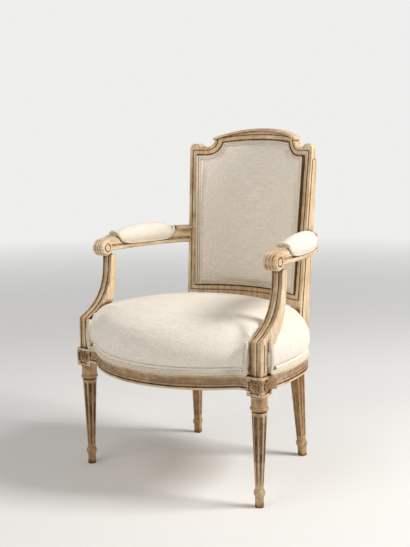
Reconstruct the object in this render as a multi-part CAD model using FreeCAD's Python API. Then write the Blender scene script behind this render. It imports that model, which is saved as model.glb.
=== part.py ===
import FreeCAD, Part
import math
import os

V = FreeCAD.Vector
os.makedirs("parts", exist_ok=True)

# Frame of the chair in millimetres: x across, y from the front to the back, z up.
# The origin is on the floor, in the middle between the sides and between the front and the back.

# Overall sizes
TOTAL_HEIGHT = 885.0
PLAN_SHIFT = 4.21
FIT = 0.1
BEAD_STEPS = 5
SOFT_GAP = 0.3

# Front legs, turned and fluted, with the square block above
LEG_X = 265.0
LEG_Y = -171.5
BLOCK_SIDE = 43.0
BLOCK_BOTTOM = 272.0
BLOCK_TOP = 318.0
FOOT_RADIUS = 10.5
TOE_RADIUS = 13.2
SHAFT_LOW_RADIUS = 10.2
SHAFT_TOP_RADIUS = 18.5
COLLAR_RADIUS = 22.2
NECK_RADIUS = 20.0
SHAFT_LOW = 46.0
SHAFT_TOP = 232.0
FLUTES = 8
FLUTE_SHARE = 0.72
FLUTE_DEEP = 0.17
FLUTE_SHALLOW = 0.07
FLUTE_LOW = 54.0
FLUTE_STOP = 110.0
FLUTE_TOP = 226.0

# Seat rails
RAIL_BOTTOM = 283.0
RAIL_FACE = 35.0
RAIL_THICK = 28.0
REBATE_IN = 9.0
REBATE_UP = 9.0
FRONT_STRAIGHT_Y = -194.0
FRONT_ARC = 300.0
FRONT_CREST_Y = -289.5
FRONT_FILLET = 30.0
SIDE_START_X = 288.9
SIDE_START_Y = -150.0
SIDE_ARCS = ((620.0, 15.0), (188.0, 19.2), (542.0, 13.0))
SIDE_START_LEAN = 4.8

# Bowed and raked back
RAKE = 0.0905
BOW_Y = 217.5
BOW_Z = 420.0
BOW_RADIUS = 262.0
BOW_HALF_ANGLE = 33.5
BLEND_RADIUS = 40.0
STILE_TURN = 12.0
STILE_FLAT = 60.0
BACK_THICK = 24.0
STILE_OUT_X = 184.4
STILE_SPREAD = 0.0267
STILE_WIDTH = 34.0
STILE_DEPTH_LOW = 40.0
STILE_DEPTH_TOP = 23.0
STILE_LOW = 327.0
CREST_LOW = 801.5

# Sight edge of the back panel
SIGHT_BOTTOM = 449.0
SIGHT_SHOULDER = 811.0
SIGHT_TOP = 853.0
SIGHT_INSET = 24.2
SHOULDER_ARC = 42.0
SHOULDER_X = 148.0
SIGHT_DROP = 7.0
WELT_WIDTH = 9.5
BACK_REBATE = 7.0
REAR_REBATE = 4.0
BACK_RAIL_LOW = 417.0

# Crest outline
CAP_END_X = 131.0
CAP_END_Z = 860.5
CAP_THICK = 6.5
NECK_X = 126.5
VALLEY_Z = 833.0
COVE_RADIUS = 27.0
EAR_TOP = 843.5
EAR_OUT_X = 195.6

# Rear legs, square and tapered
REAR_BLOCK_X = 164.0
REAR_BLOCK_Y = 175.0
REAR_FOOT_X = 176.0
REAR_FOOT_Y = 193.0
REAR_BLOCK_WIDE = 38.0
REAR_BLOCK_DEEP = 40.0
REAR_SHAFT_TOP = 31.0
REAR_SHAFT_LOW = 17.6
REAR_FOOT = 17.0
REAR_TOE = 21.0

# Arm supports
POST_X = 264.0
POST_WIDTH = 33.0
POST_FRONT = -188.0
POST_BACK = -159.0
SUPPORT_TOP_WIDTH = 29.5
SUPPORT_TOP = 556.0

# Armrests
SCROLL_Y = -107.5
SCROLL_Z = 576.0
SCROLL_RADIUS = 22.0
SCROLL_WIDTH = 37.0
ARM_LOW = 567.0
ARM_BED = 577.0
ARM_HIGH = 614.0
ARM_HALF = 17.0
ARM_ARCS = ((800.0, 18.6), (90.0, 33.4))

# Upholstery
CLOTH = 1.6
SEAT_CROWN = 446.0
SEAT_MIDDLE_Y = -40.0
BACK_CROWN = 14.0
WELT_CORD = 2.5
BAND_WIDE = 50.0
BAND_THICK = 0.8
BURLAP_THICK = 1.0
PAD_CORE = 12.5

# Joints and corner blocks
TENON_THICK = 9.0
PEG_RADIUS = 2.5
DOWEL_RADIUS = 4.0
SCREW_RADIUS = 2.0
BRACE_LOW = 288.0
BRACE_HIGH = 314.0


# Helpers for plan curves


class Run:
    """A plan curve made of lines and arcs, followed from its start; offsets go to its right-hand side."""

    def __init__(self, x, y, heading):
        self.pieces = []
        self.x = x
        self.y = y
        self.heading = heading

    def line(self, length):
        self.pieces.append(("line", self.x, self.y, self.heading, length, 0.0))
        self.x += length * math.cos(math.radians(self.heading))
        self.y += length * math.sin(math.radians(self.heading))
        return self

    def arc(self, radius, turn):
        self.pieces.append(("arc", self.x, self.y, self.heading, radius, turn))
        self.x, self.y, self.heading = self._arc_place(self.pieces[-1], 1.0)
        return self

    @staticmethod
    def _arc_place(piece, share):
        _, x, y, heading, radius, turn = piece
        side = math.copysign(90.0, turn)
        out = math.radians(heading + side)
        cx = x + radius * math.cos(out)
        cy = y + radius * math.sin(out)
        back = math.radians(heading - side + turn * share)
        return cx + radius * math.cos(back), cy + radius * math.sin(back), heading + turn * share

    def place(self, index, share):
        piece = self.pieces[index]
        if piece[0] == "arc":
            return self._arc_place(piece, share)
        _, x, y, heading, length, _ = piece
        way = math.radians(heading)
        return x + length * share * math.cos(way), y + length * share * math.sin(way), heading

    def point(self, index, share, off, z=0.0):
        x, y, heading = self.place(index, share)
        way = math.radians(heading)
        return V(x + off * math.sin(way), y - off * math.cos(way), z)

    def edge(self, index, off, z=0.0):
        start = self.point(index, 0.0, off, z)
        end = self.point(index, 1.0, off, z)
        if self.pieces[index][0] == "line":
            return Part.LineSegment(start, end).toShape()
        return Part.Arc(start, self.point(index, 0.5, off, z), end).toShape()

    def strip(self, off_a, off_b, z=0.0):
        """Plan face between two offsets of the curve."""
        count = len(self.pieces)
        near = [self.edge(i, off_a, z) for i in range(count)]
        far = [self.edge(i, off_b, z) for i in reversed(range(count))]
        first = Part.LineSegment(self.point(count - 1, 1.0, off_a, z), self.point(count - 1, 1.0, off_b, z))
        last = Part.LineSegment(self.point(0, 0.0, off_b, z), self.point(0, 0.0, off_a, z))
        edges = near + [first.toShape()] + far + [last.toShape()]
        return Part.Face(Part.Wire(Part.__sortEdges__(edges)))

    def along(self, length):
        """Piece and share at a distance from the start."""
        left = length
        for index, piece in enumerate(self.pieces):
            size = piece[4] if piece[0] == "line" else piece[4] * math.radians(abs(piece[5]))
            if left <= size or index == len(self.pieces) - 1:
                return index, left / size
            left -= size
        return len(self.pieces) - 1, 1.0


def chords(arc):
    spots = arc.discretize(Number=BEAD_STEPS + 1)
    return [Part.LineSegment(a, b).toShape() for a, b in zip(spots, spots[1:])]


def wire_of(items, put, turned=False):
    """Closed wire from (a, b) points; an item of four numbers is an arc through its first pair to its second.

    The small arcs of a turned profile are made of BEAD_STEPS short chords, like the flats a scraper leaves.
    """
    edges = []
    start = put(*items[0])
    here = start
    for item in items[1:]:
        end = put(*item[-2:])
        if len(item) == 4:
            arc = Part.Arc(here, put(*item[:2]), end).toShape()
            edges += chords(arc) if turned else [arc]
        else:
            edges.append(Part.LineSegment(here, end).toShape())
        here = end
    if here.distanceToPoint(start) > 1e-6:
        edges.append(Part.LineSegment(here, start).toShape())
    return Part.Wire(edges)


def moulding(run, profile):
    """Solid with the profile (offset, height) carried along the plan curve."""
    body = None
    for index, piece in enumerate(run.pieces):
        face = Part.Face(wire_of(profile, lambda off, z: run.point(index, 0.0, off, z), piece[0] == "arc"))
        if piece[0] == "line":
            way = math.radians(piece[3])
            bit = face.extrude(V(math.cos(way), math.sin(way), 0) * piece[4])
        else:
            side = math.radians(piece[3] + math.copysign(90.0, piece[5]))
            centre = V(piece[1] + piece[4] * math.cos(side), piece[2] + piece[4] * math.sin(side), 0)
            bit = face.revolve(centre, V(0, 0, 1), piece[5])
        body = bit if body is None else body.fuse(bit)
    return body.removeSplitter()


def box(x0, x1, y0, y1, z0, z1):
    return Part.makeBox(x1 - x0, y1 - y0, z1 - z0, V(x0, y0, z0))


def prism_z(items, z0, z1):
    return Part.Face(wire_of(items, lambda x, y: V(x, y, z0))).extrude(V(0, 0, z1 - z0))


def prism_y(items, y0, y1):
    return Part.Face(wire_of(items, lambda x, z: V(x, y0, z))).extrude(V(0, y1 - y0, 0))


def prism_x(items, x0, x1):
    return Part.Face(wire_of(items, lambda y, z: V(x0, y, z))).extrude(V(x1 - x0, 0, 0))


def loft(wires, ruled=False):
    return Part.makeLoft(wires, True, ruled)


def mirrored(shape):
    return shape.mirror(V(0, 0, 0), V(1, 0, 0))


def both(shapes):
    """Right-hand shapes and their mirror images."""
    return list(shapes) + [mirrored(shape) for shape in shapes]


def rod(start, end, radius):
    way = end - start
    return Part.makeCylinder(radius, way.Length, start, way)


def clean(shape):
    """Largest solid of a shape after its cuts."""
    shape = shape.removeSplitter()
    return max(shape.Solids, key=lambda solid: solid.Volume)


def save(name, *shapes):
    """One file for each piece, or for each set of equal pieces, with the origin under the middle of the chair."""
    whole = shapes[0] if len(shapes) == 1 else Part.makeCompound(list(shapes))
    whole.translated(V(0, PLAN_SHIFT, 0)).exportStep("parts/" + name + ".step")


# Plan curves of the seat frame and the back


def front_run(grow=0.0):
    """Front rail outline from the left block to the right one: straight, cove, bow, cove, straight."""
    centre_y = FRONT_CREST_Y + FRONT_ARC
    fillet_y = FRONT_STRAIGHT_Y - FRONT_FILLET
    reach = FRONT_ARC + FRONT_FILLET
    fillet_x = math.sqrt(reach ** 2 - (centre_y - fillet_y) ** 2)
    turn = math.degrees(math.asin(fillet_x / reach))
    inner = LEG_X - BLOCK_SIDE / 2 + grow
    run = Run(-inner, FRONT_STRAIGHT_Y, 0.0)
    run.line(inner - fillet_x)
    run.arc(FRONT_FILLET, -turn)
    run.arc(FRONT_ARC, 2 * turn)
    run.arc(FRONT_FILLET, -turn)
    run.line(inner - fillet_x)
    return run


def side_run():
    """Side rail outline from the front block back and round towards the rear block."""
    run = Run(SIDE_START_X, SIDE_START_Y, 90.0 - SIDE_START_LEAN)
    for radius, turn in SIDE_ARCS:
        run.arc(radius, turn)
    return run


def bow_run(flat=STILE_FLAT):
    """Face line of the back in plan at the height BOW_Z, from left to right."""
    half = math.radians(BOW_HALF_ANGLE)
    tip = math.radians(STILE_TURN)
    x = BOW_RADIUS * math.sin(half) + BLEND_RADIUS * (math.sin(half) - math.sin(tip))
    drop = BOW_RADIUS * (1 - math.cos(half)) + BLEND_RADIUS * (math.cos(tip) - math.cos(half))
    x += flat * math.cos(tip)
    drop += flat * math.sin(tip)
    run = Run(-x, BOW_Y - drop, STILE_TURN)
    run.line(flat)
    run.arc(BLEND_RADIUS, BOW_HALF_ANGLE - STILE_TURN)
    run.arc(BOW_RADIUS, -2 * BOW_HALF_ANGLE)
    run.arc(BLEND_RADIUS, BOW_HALF_ANGLE - STILE_TURN)
    run.line(flat)
    return run


def back_sheet(front, back, z0=380.0, z1=900.0, flat=STILE_FLAT):
    """Raked and bowed sheet between two depths behind the face of the back."""
    face = bow_run(flat).strip(-front, -back, z0)
    face.translate(V(0, RAKE * (z0 - BOW_Z), 0))
    return face.extrude(V(0, RAKE * (z1 - z0), z1 - z0))


def face_y(x, z):
    """Depth of the flat face of a stile at a place across and up."""
    tip = bow_run(0.0)
    return tip.y - (abs(x) - tip.x) * math.tan(math.radians(STILE_TURN)) + RAKE * (z - BOW_Z)


def stile_x(z):
    return STILE_OUT_X + STILE_SPREAD * (z - BOW_Z)


# Outlines of the back seen from the front


def sight_step(off):
    """Where the arched top of the sight edge meets the cove of its shoulder, moved outwards by an amount."""
    centre_z = SIGHT_SHOULDER + SHOULDER_ARC
    reach = SHOULDER_X - math.sqrt(SHOULDER_ARC ** 2 - SIGHT_DROP ** 2)
    arch_radius = (reach ** 2 + SIGHT_DROP ** 2) / (2 * SIGHT_DROP)
    arch_z = SIGHT_TOP - arch_radius
    span = math.hypot(SHOULDER_X, centre_z - arch_z)
    arch = arch_radius + off
    cove = SHOULDER_ARC - off
    along = (arch ** 2 - cove ** 2 + span ** 2) / (2 * span)
    beside = math.sqrt(arch ** 2 - along ** 2)
    way_x, way_z = SHOULDER_X / span, (centre_z - arch_z) / span
    return along * way_x - beside * way_z, arch_z + along * way_z + beside * way_x


def sight_items(off):
    """Sight edge of the panel moved outwards by an amount."""
    low = SIGHT_BOTTOM - off
    x_low = stile_x(low) - SIGHT_INSET + off
    shoulder = SIGHT_SHOULDER + off
    x_high = stile_x(shoulder) - SIGHT_INSET + off
    arc = SHOULDER_ARC - off
    z_centre = SIGHT_SHOULDER + SHOULDER_ARC
    x_step, z_step = sight_step(off)
    mid = math.radians(225.0)
    right = [(x_low, low), (x_high, shoulder), (SHOULDER_X, shoulder)]
    arc_r = (SHOULDER_X + arc * math.cos(mid), z_centre + arc * math.sin(mid), x_step, z_step)
    arch = (0.0, SIGHT_TOP + off, -x_step, z_step)
    arc_l = (-SHOULDER_X - arc * math.cos(mid), z_centre + arc * math.sin(mid), -SHOULDER_X, shoulder)
    left = [(-x_high, shoulder), (-x_low, low)]
    return right + [arc_r, arch, arc_l] + left


def sight_prism(off):
    return prism_y(sight_items(off), 100.0, 400.0)


def sight_band(inner, outer, front, back):
    """Part of the bowed sheet that lies between two offsets of the sight edge."""
    ring = sight_prism(outer).cut(sight_prism(inner))
    return ring.common(back_sheet(front, back))


def mould_grooves(body):
    """Two grooves that run round the panel in the face of the frame."""
    body = body.cut(sight_band(0.3, 4.0, -1.0, 2.2))
    return body.cut(sight_band(13.5, 16.5, -1.0, 1.8))


def panel_rebates(body):
    """Rebates for the upholstery round the sight edge, in front and behind."""
    edge = sight_prism(0.0).cut(sight_prism(-WELT_WIDTH - 4.0))
    front = edge.common(back_sheet(-8.0, BACK_REBATE))
    rear = edge.common(back_sheet(BACK_THICK - REAR_REBATE, 60.0))
    return body.cut(front).cut(rear)


# Rear leg and stile


def stile_section(z, outer, inner, depth, front=0.0):
    """Plan wire of the stile at a height; widths run in from its outer corner, depths back from its face."""
    tip = math.radians(STILE_TURN)
    corner = V(stile_x(z), face_y(stile_x(z), z), z)
    across = V(-math.cos(tip), math.sin(tip), 0)
    deep = V(math.sin(tip), math.cos(tip), 0)
    items = [(outer, front), (inner, front), (inner, depth), (outer, depth)]
    return wire_of(items, lambda a, b: corner + across * a + deep * b)


def stile_body():
    top = CREST_LOW
    body = loft([stile_section(STILE_LOW, 0, STILE_WIDTH, STILE_DEPTH_LOW),
                 stile_section(top, 0, STILE_WIDTH, STILE_DEPTH_TOP)], True)
    groove = loft([stile_section(STILE_LOW + 30, -1, 1.8, 11.0, 7.5),
                   stile_section(top + 5, -1, 1.8, 8.0, 5.0)], True)
    tenon = loft([stile_section(top - 1, 8, 26, 17.0, 8.0),
                  stile_section(top + 20, 8, 26, 17.0, 8.0)], True)
    return body.cut(groove).fuse(tenon)


def rear_square(z, side):
    """Square section of the rear leg at a height on its leaning axis."""
    share = 1.0 - z / RAIL_BOTTOM
    cx = REAR_BLOCK_X + (REAR_FOOT_X - REAR_BLOCK_X) * share
    cy = REAR_BLOCK_Y + (REAR_FOOT_Y - REAR_BLOCK_Y) * share
    tip = math.radians(STILE_TURN)
    across = V(math.cos(tip), -math.sin(tip), 0)
    deep = V(math.sin(tip), math.cos(tip), 0)
    half = side / 2
    items = [(-half, -half), (half, -half), (half, half), (-half, half)]
    return wire_of(items, lambda a, b: V(cx, cy, z) + across * a + deep * b)


def rear_fluted_wire(z, side):
    """Square section with two flutes sunk in each face."""
    share = 1.0 - z / RAIL_BOTTOM
    cx = REAR_BLOCK_X + (REAR_FOOT_X - REAR_BLOCK_X) * share
    cy = REAR_BLOCK_Y + (REAR_FOOT_Y - REAR_BLOCK_Y) * share
    half = side / 2
    wide = side * 0.15
    deep = side * 0.09
    items = [(-half, -half)]
    for face in range(4):
        turn = math.radians(90.0 * face)
        for middle in (-side * 0.2, side * 0.2):
            flute = ((middle - wide, 0.0), (middle, deep), (middle + wide, 0.0))
            spots = []
            for a, sunk in flute:
                b = -half + sunk
                spots.append((a * math.cos(turn) - b * math.sin(turn), a * math.sin(turn) + b * math.cos(turn)))
            items.append(spots[0])
            items.append(spots[1] + spots[2])
        corner = (half * math.cos(turn) + half * math.sin(turn), half * math.sin(turn) - half * math.cos(turn))
        if face < 3:
            items.append(corner)
    tip = math.radians(STILE_TURN)
    across = V(math.cos(tip), -math.sin(tip), 0)
    back = V(math.sin(tip), math.cos(tip), 0)
    return wire_of(items, lambda a, b: V(cx, cy, z) + across * a + back * b)


def rear_block():
    cx, cy = REAR_BLOCK_X, REAR_BLOCK_Y
    tip = math.radians(STILE_TURN)
    across = V(math.cos(tip), -math.sin(tip), 0)
    deep = V(math.sin(tip), math.cos(tip), 0)
    a = REAR_BLOCK_WIDE / 2
    b = REAR_BLOCK_DEEP / 2
    items = [(-a, -b), (a, -b), (a, b), (-a, b)]
    wire = wire_of(items, lambda p, q: V(cx, cy, RAIL_BOTTOM - 3) + across * p + deep * q)
    return Part.Face(wire).extrude(V(0, 0, STILE_LOW - RAIL_BOTTOM + 3))


def rear_leg_shaft():
    low = 46.0
    foot = loft([rear_square(0.0, REAR_FOOT), rear_square(27.0, REAR_FOOT)], True)
    toe = loft([rear_square(27.0, REAR_FOOT), rear_square(29.5, REAR_TOE), rear_square(40.5, REAR_TOE),
                rear_square(43.0, REAR_SHAFT_LOW)], True)
    slope = (REAR_SHAFT_TOP - REAR_SHAFT_LOW) / (RAIL_BOTTOM - low)
    flute_low = 58.0
    flute_top = 262.0
    wide_low = REAR_SHAFT_LOW + slope * (flute_low - low)
    wide_top = REAR_SHAFT_LOW + slope * (flute_top - low)
    plain_low = loft([rear_square(43.0, REAR_SHAFT_LOW), rear_square(flute_low, wide_low)], True)
    fluted = loft([rear_fluted_wire(flute_low, wide_low), rear_fluted_wire(flute_top, wide_top)], True)
    plain_top = loft([rear_square(flute_top, wide_top), rear_square(RAIL_BOTTOM, REAR_SHAFT_TOP)], True)
    return foot.fuse([toe, plain_low, fluted, plain_top])


def rear_leg():
    body = rear_leg_shaft().fuse([rear_block(), stile_body()])
    body = mould_grooves(panel_rebates(body))
    return clean(body.cut([side_rear_tenon(FIT), rear_rail_tenon(FIT), back_tenon(FIT), arm_dowel(FIT)]))


# Seat rails


def rail_profile():
    z = RAIL_BOTTOM
    top = z + RAIL_FACE
    return [(-RAIL_THICK, z), (-3.0, z), (0.2, z + 3.2, -3.0, z + 6.4), (-4.2, z + 6.8), (-4.2, z + 8.6),
            (-0.8, z + 11.2, -3.6, z + 14.0), (-5.4, z + 22.0, -3.6, z + 30.0), (-1.0, z + 31.0),
            (-1.0, top), (-REBATE_IN, top), (-REBATE_IN, top + REBATE_UP), (-RAIL_THICK, top + REBATE_UP)]


def block_tenon(fit=0.0):
    """Tenon of the front rail in the right-hand block."""
    inner = LEG_X - BLOCK_SIDE / 2
    return box(inner - 2, inner + 15 + fit, -186.0 - fit, -176.0 + fit, 288.0 - fit, 312.0 + fit)


def side_tenon(fit=0.0):
    """Tenon of the side rail in the back of the right-hand block."""
    rear = LEG_Y + BLOCK_SIDE / 2
    return box(270.0 - fit, 279.0 + fit, rear - 15 - fit, rear + 2, 288.0 - fit, 312.0 + fit)


def rail_bar(start, end, fit):
    """Bar between two places in plan, as wide and as high as a rail tenon."""
    way = V(end.x - start.x, end.y - start.y, 0)
    way.normalize()
    side = V(-way.y, way.x, 0) * (TENON_THICK / 2 + fit)
    far = end + way * fit
    low = V(0, 0, 289.0 - fit)
    spots = [start - side + low, far - side + low, far + side + low, start + side + low]
    return Part.Face(Part.makePolygon(spots + spots[:1])).extrude(V(0, 0, 23.0 + 2 * fit))


def side_rear_tenon(fit=0.0):
    """Tenon at the rear end of the side rail."""
    run = side_run()
    start = run.point(2, 0.78, -13.0)
    x, y, heading = run.place(2, 1.0)
    way = V(math.cos(math.radians(heading)), math.sin(math.radians(heading)), 0)
    return rail_bar(start, start + way * 31.0, fit)


def rear_rail_tenon(fit=0.0):
    """Tenon at the right-hand end of the rear rail."""
    centre_y = BOW_Y + RAKE * (300.0 - BOW_Z) - BOW_RADIUS
    turn = math.radians(30.0)
    radius = BOW_RADIUS + 3.0
    start = V(radius * math.sin(turn), centre_y + radius * math.cos(turn), 0)
    return rail_bar(start, start + V(math.cos(turn), -math.sin(turn), 0) * 24.0, fit)


def front_rail():
    body = moulding(front_run(), rail_profile())
    body = body.fuse([block_tenon(), mirrored(block_tenon())])
    return clean(body.cut(both(corner_screws(FIT) + frame_pegs(FIT))))


def side_rail():
    body = moulding(side_run(), rail_profile())
    body = body.fuse(side_tenon())
    body = body.cut([rear_block(), rear_leg_shaft()])
    body = clean(body).fuse(side_rear_tenon())
    return clean(body.cut(corner_screws(FIT) + frame_pegs(FIT)))


def rear_rail():
    """Plain bowed rail with the same rebate for the upholstery as the others."""
    low, top = RAIL_BOTTOM, RAIL_BOTTOM + RAIL_FACE
    profile = [(10.0, low), (-16.0, low), (-16.0, top), (-16.0 + REBATE_IN, top), (-16.0 + REBATE_IN, top + REBATE_UP),
               (10.0, top + REBATE_UP)]
    body = moulding(bow_run(4.0), profile)
    body.translate(V(0, RAKE * (300.0 - BOW_Z), 0))
    body = body.cut([rear_block(), mirrored(rear_block())])
    body = clean(body).fuse([rear_rail_tenon(), mirrored(rear_rail_tenon())])
    return clean(body.cut(both(corner_screws(FIT))))


# Front legs


def front_leg_turning():
    """Turned leg: foot, toe ring, tapered shaft, collar, neck and astragal."""
    items = [(0.0, 0.0), (FOOT_RADIUS, 0.0), (FOOT_RADIUS, 26.0), (TOE_RADIUS - 1.2, 28.0),
             (TOE_RADIUS + 0.6, 35.0, TOE_RADIUS - 1.2, 42.0), (SHAFT_LOW_RADIUS, 43.5), (SHAFT_LOW_RADIUS, SHAFT_LOW),
             (SHAFT_TOP_RADIUS, SHAFT_TOP), (16.5, SHAFT_TOP + 2.0), (16.5, SHAFT_TOP + 4.0),
             (COLLAR_RADIUS - 2.2, 236.6), (COLLAR_RADIUS + 0.2, 240.6, COLLAR_RADIUS - 2.2, 244.8),
             (NECK_RADIUS, 246.5), (NECK_RADIUS - 0.6, 266.0), (NECK_RADIUS + 1.4, 268.8, NECK_RADIUS, BLOCK_BOTTOM),
             (NECK_RADIUS - 4.0, BLOCK_BOTTOM + 3.0), (0.0, BLOCK_BOTTOM + 3.0)]
    face = Part.Face(wire_of(items, lambda r, z: V(LEG_X + r, LEG_Y, z), True))
    return face.revolve(V(LEG_X, LEG_Y, 0), V(0, 0, 1), 360.0)


def shaft_radius(z):
    share = (z - SHAFT_LOW) / (SHAFT_TOP - SHAFT_LOW)
    return SHAFT_LOW_RADIUS + (SHAFT_TOP_RADIUS - SHAFT_LOW_RADIUS) * share


def fluted_section(z, deep):
    """Section of the shaft at a height, with its flutes sunk by a share of the radius."""
    radius = shaft_radius(z)
    step = 360.0 / FLUTES
    half = step * FLUTE_SHARE / 2

    def spot(turn, r):
        way = math.radians(turn)
        return (r * math.cos(way), r * math.sin(way))
    items = [spot(-half, radius)]
    for i in range(FLUTES):
        middle = i * step
        items.append(spot(middle, radius * (1.0 - deep)) + spot(middle + half, radius))
        items.append(spot(middle + step / 2, radius) + spot(middle + step - half, radius))
    return wire_of(items, lambda x, y: V(LEG_X + x, LEG_Y + y, z), True)


def fluted_shaft():
    """Tapered shaft, deeply fluted above and stop-fluted below."""
    stages = ((FLUTE_LOW, 0.02), (FLUTE_LOW + 5, FLUTE_SHALLOW), (FLUTE_STOP, FLUTE_SHALLOW),
              (FLUTE_STOP + 4, FLUTE_DEEP), (FLUTE_TOP - 7, FLUTE_DEEP), (FLUTE_TOP, 0.02))
    wires = [fluted_section(z, deep) for z, deep in stages]
    return loft(wires, True)


def block_panel(body, way_x, way_y):
    """Sunk square with a raised boss on one face of the block."""
    centre = V(LEG_X, LEG_Y, (BLOCK_BOTTOM + BLOCK_TOP) / 2)
    side = BLOCK_SIDE / 2
    out = V(way_x, way_y, 0)
    across = V(-way_y, way_x, 0)
    half = side - 5.0
    items = [(-half, -half), (half, -half), (half, half), (-half, half)]
    wire = wire_of(items, lambda a, b: centre + out * (side - 2.6) + across * a + V(0, 0, b))
    body = body.cut(Part.Face(wire).extrude(out * 6))
    boss = Part.makeCone(10.5, 8.0, 2.4, centre + out * (side - 2.8), out)
    eye = Part.makeCone(4.6, 2.6, 1.8, centre + out * (side - 0.5), out)
    return body.fuse([boss, eye])


def front_leg():
    ring = Part.makeCylinder(SHAFT_TOP_RADIUS + 8, FLUTE_TOP - FLUTE_LOW, V(LEG_X, LEG_Y, FLUTE_LOW))
    body = front_leg_turning().cut(ring).fuse(fluted_shaft())
    half = BLOCK_SIDE / 2
    block = box(LEG_X - half, LEG_X + half, LEG_Y - half, LEG_Y + half, BLOCK_BOTTOM, BLOCK_TOP)
    block = block_panel(block, 0, -1)
    block = block_panel(block, 1, 0)
    body = body.fuse(block)
    return clean(body.cut([block_tenon(FIT), side_tenon(FIT), post_tenon(FIT)] + frame_pegs(FIT)))


# Arm supports and armrests


def post_tenon(fit=0.0):
    """Round tenon under the arm support."""
    return Part.makeCylinder(7.0 + fit, 20.0 + fit, V(POST_X - 4, LEG_Y + 4, BLOCK_TOP - 20.0 - fit))


def support_outline(shift_y=0.0, shift_z=0.0):
    """Side outline of the arm support: upright post below, sweeping back and up."""
    def at(y, z):
        return V(0, y + shift_y, z + shift_z)
    front = Part.BSplineCurve()
    front.interpolate([at(POST_FRONT, 400), at(-152, 418.5), at(-119.5, 447), at(-99, 486), at(-92, 528),
                       at(-91, SUPPORT_TOP)])
    rear = Part.BSplineCurve()
    rear.interpolate([at(-72, SUPPORT_TOP), at(-72.5, 508), at(-80, 462), at(-98, 422), at(-124, 395),
                      at(POST_BACK, 372)])
    edges = [front.toShape(),
             Part.LineSegment(at(-91, SUPPORT_TOP), at(-72, SUPPORT_TOP)).toShape(),
             rear.toShape(),
             Part.LineSegment(at(POST_BACK, 372), at(POST_BACK, BLOCK_TOP)).toShape(),
             Part.LineSegment(at(POST_BACK, BLOCK_TOP), at(POST_FRONT, BLOCK_TOP)).toShape(),
             Part.LineSegment(at(POST_FRONT, BLOCK_TOP), at(POST_FRONT, 400)).toShape()]
    return Part.Face(Part.Wire(edges))


def support_slab(face, half_in, half_out):
    """Slice of the side outline between two places across the width."""
    slab = face.copy()
    slab.translate(V(POST_X + half_in, 0, 0))
    return slab.extrude(V(half_out - half_in, 0, 0))


def arm_support():
    full = support_outline()
    core = full.common(support_outline(2.2, -1.6)).Faces[0]
    half = POST_WIDTH / 2
    body = support_slab(core, -half, half)
    ribs = ((-half, -half + 3.6), (-3.0, 3.0), (half - 3.6, half))
    body = body.fuse([support_slab(full, a, b) for a, b in ribs])
    narrow = (POST_WIDTH - SUPPORT_TOP_WIDTH) / 2
    taper = [(POST_X - half, 300), (POST_X + half, 300), (POST_X + half, 400), (POST_X + half - narrow, 480),
             (POST_X + half - narrow, 700), (POST_X - half + narrow, 700), (POST_X - half + narrow, 480),
             (POST_X - half, 400)]
    body = body.common(prism_y(taper, -300, 100))
    side_line = box(POST_X + half - 2.0, POST_X + half + 2, POST_FRONT + 12.5, POST_FRONT + 16.0, 326, 392)
    inner_line = box(POST_X - half - 2, POST_X - half + 2.0, POST_FRONT + 12.5, POST_FRONT + 16.0, 326, 392)
    body = body.cut([side_line, inner_line])
    body = body.fuse(post_tenon())
    body = body.fuse(rod(V(POST_X, -82.0, SUPPORT_TOP - 2), V(POST_X, -82.0, SUPPORT_TOP + 20), 6.0))
    return clean(body)


def arm_run():
    run = Run(POST_X, SCROLL_Y, 90.0)
    for radius, turn in ARM_ARCS:
        run.arc(radius, turn)
    run.line(14.0)
    return run


def arm_profile():
    right = [(14.5, ARM_LOW), (ARM_HALF, ARM_LOW + 2.2), (ARM_HALF, ARM_BED), (13.6, ARM_BED + 2.0),
             (13.6, ARM_BED + 5.0), (15.6, ARM_BED + 6.5), (15.6, 598.0), (13.6, 600.0), (13.6, 603.0),
             (15.8, 604.5), (15.8, 611.5), (13.5, ARM_HIGH)]
    return right + [(-a, z) for a, z in reversed(right)]


def scroll():
    """Ribbed volute with an eye on each side."""
    half = SCROLL_WIDTH / 2
    ribs = 4
    pitch = (SCROLL_WIDTH - 3.0) / ribs
    items = [(-half, 0.0), (-half, 8.6), (-half + 2.2, 9.4), (-half + 2.2, 11.2), (-half, 12.0),
             (-half, SCROLL_RADIUS - 4.0), (-half + 1.5, SCROLL_RADIUS - 2.4)]
    for i in range(ribs):
        start = -half + 1.5 + pitch * i
        items.append((start + pitch / 2, SCROLL_RADIUS, start + pitch - 0.01, SCROLL_RADIUS - 2.4))
    items += [(half, SCROLL_RADIUS - 4.0), (half, 12.0), (half - 2.2, 11.2), (half - 2.2, 9.4), (half, 8.6),
              (half, 0.0)]
    face = Part.Face(wire_of(items, lambda a, r: V(POST_X + a, SCROLL_Y, SCROLL_Z + r), True))
    return face.revolve(V(POST_X, SCROLL_Y, SCROLL_Z), V(1, 0, 0), 360.0)


PAD_STATIONS = (
    (48.0, 600.0, 610.0, 12.0), (58.0, 588.0, 616.5, 19.0), (76.0, 579.5, 622.5, 23.5), (98.0, 577.6, 627.0, 25.5),
    (140.0, 577.6, 631.5, 26.5), (190.0, 577.6, 631.5, 26.5), (222.0, 578.4, 628.5, 25.0), (240.0, 585.0, 622.0, 20.0),
    (250.0, 597.0, 613.0, 12.0))


def across_arm(length, items, turned=False):
    """Wire in the upright plane square to the arm at a distance along it."""
    run = arm_run()
    index, share = run.along(length)
    return wire_of(items, lambda off, z: run.point(index, share, off, z), turned)


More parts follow.
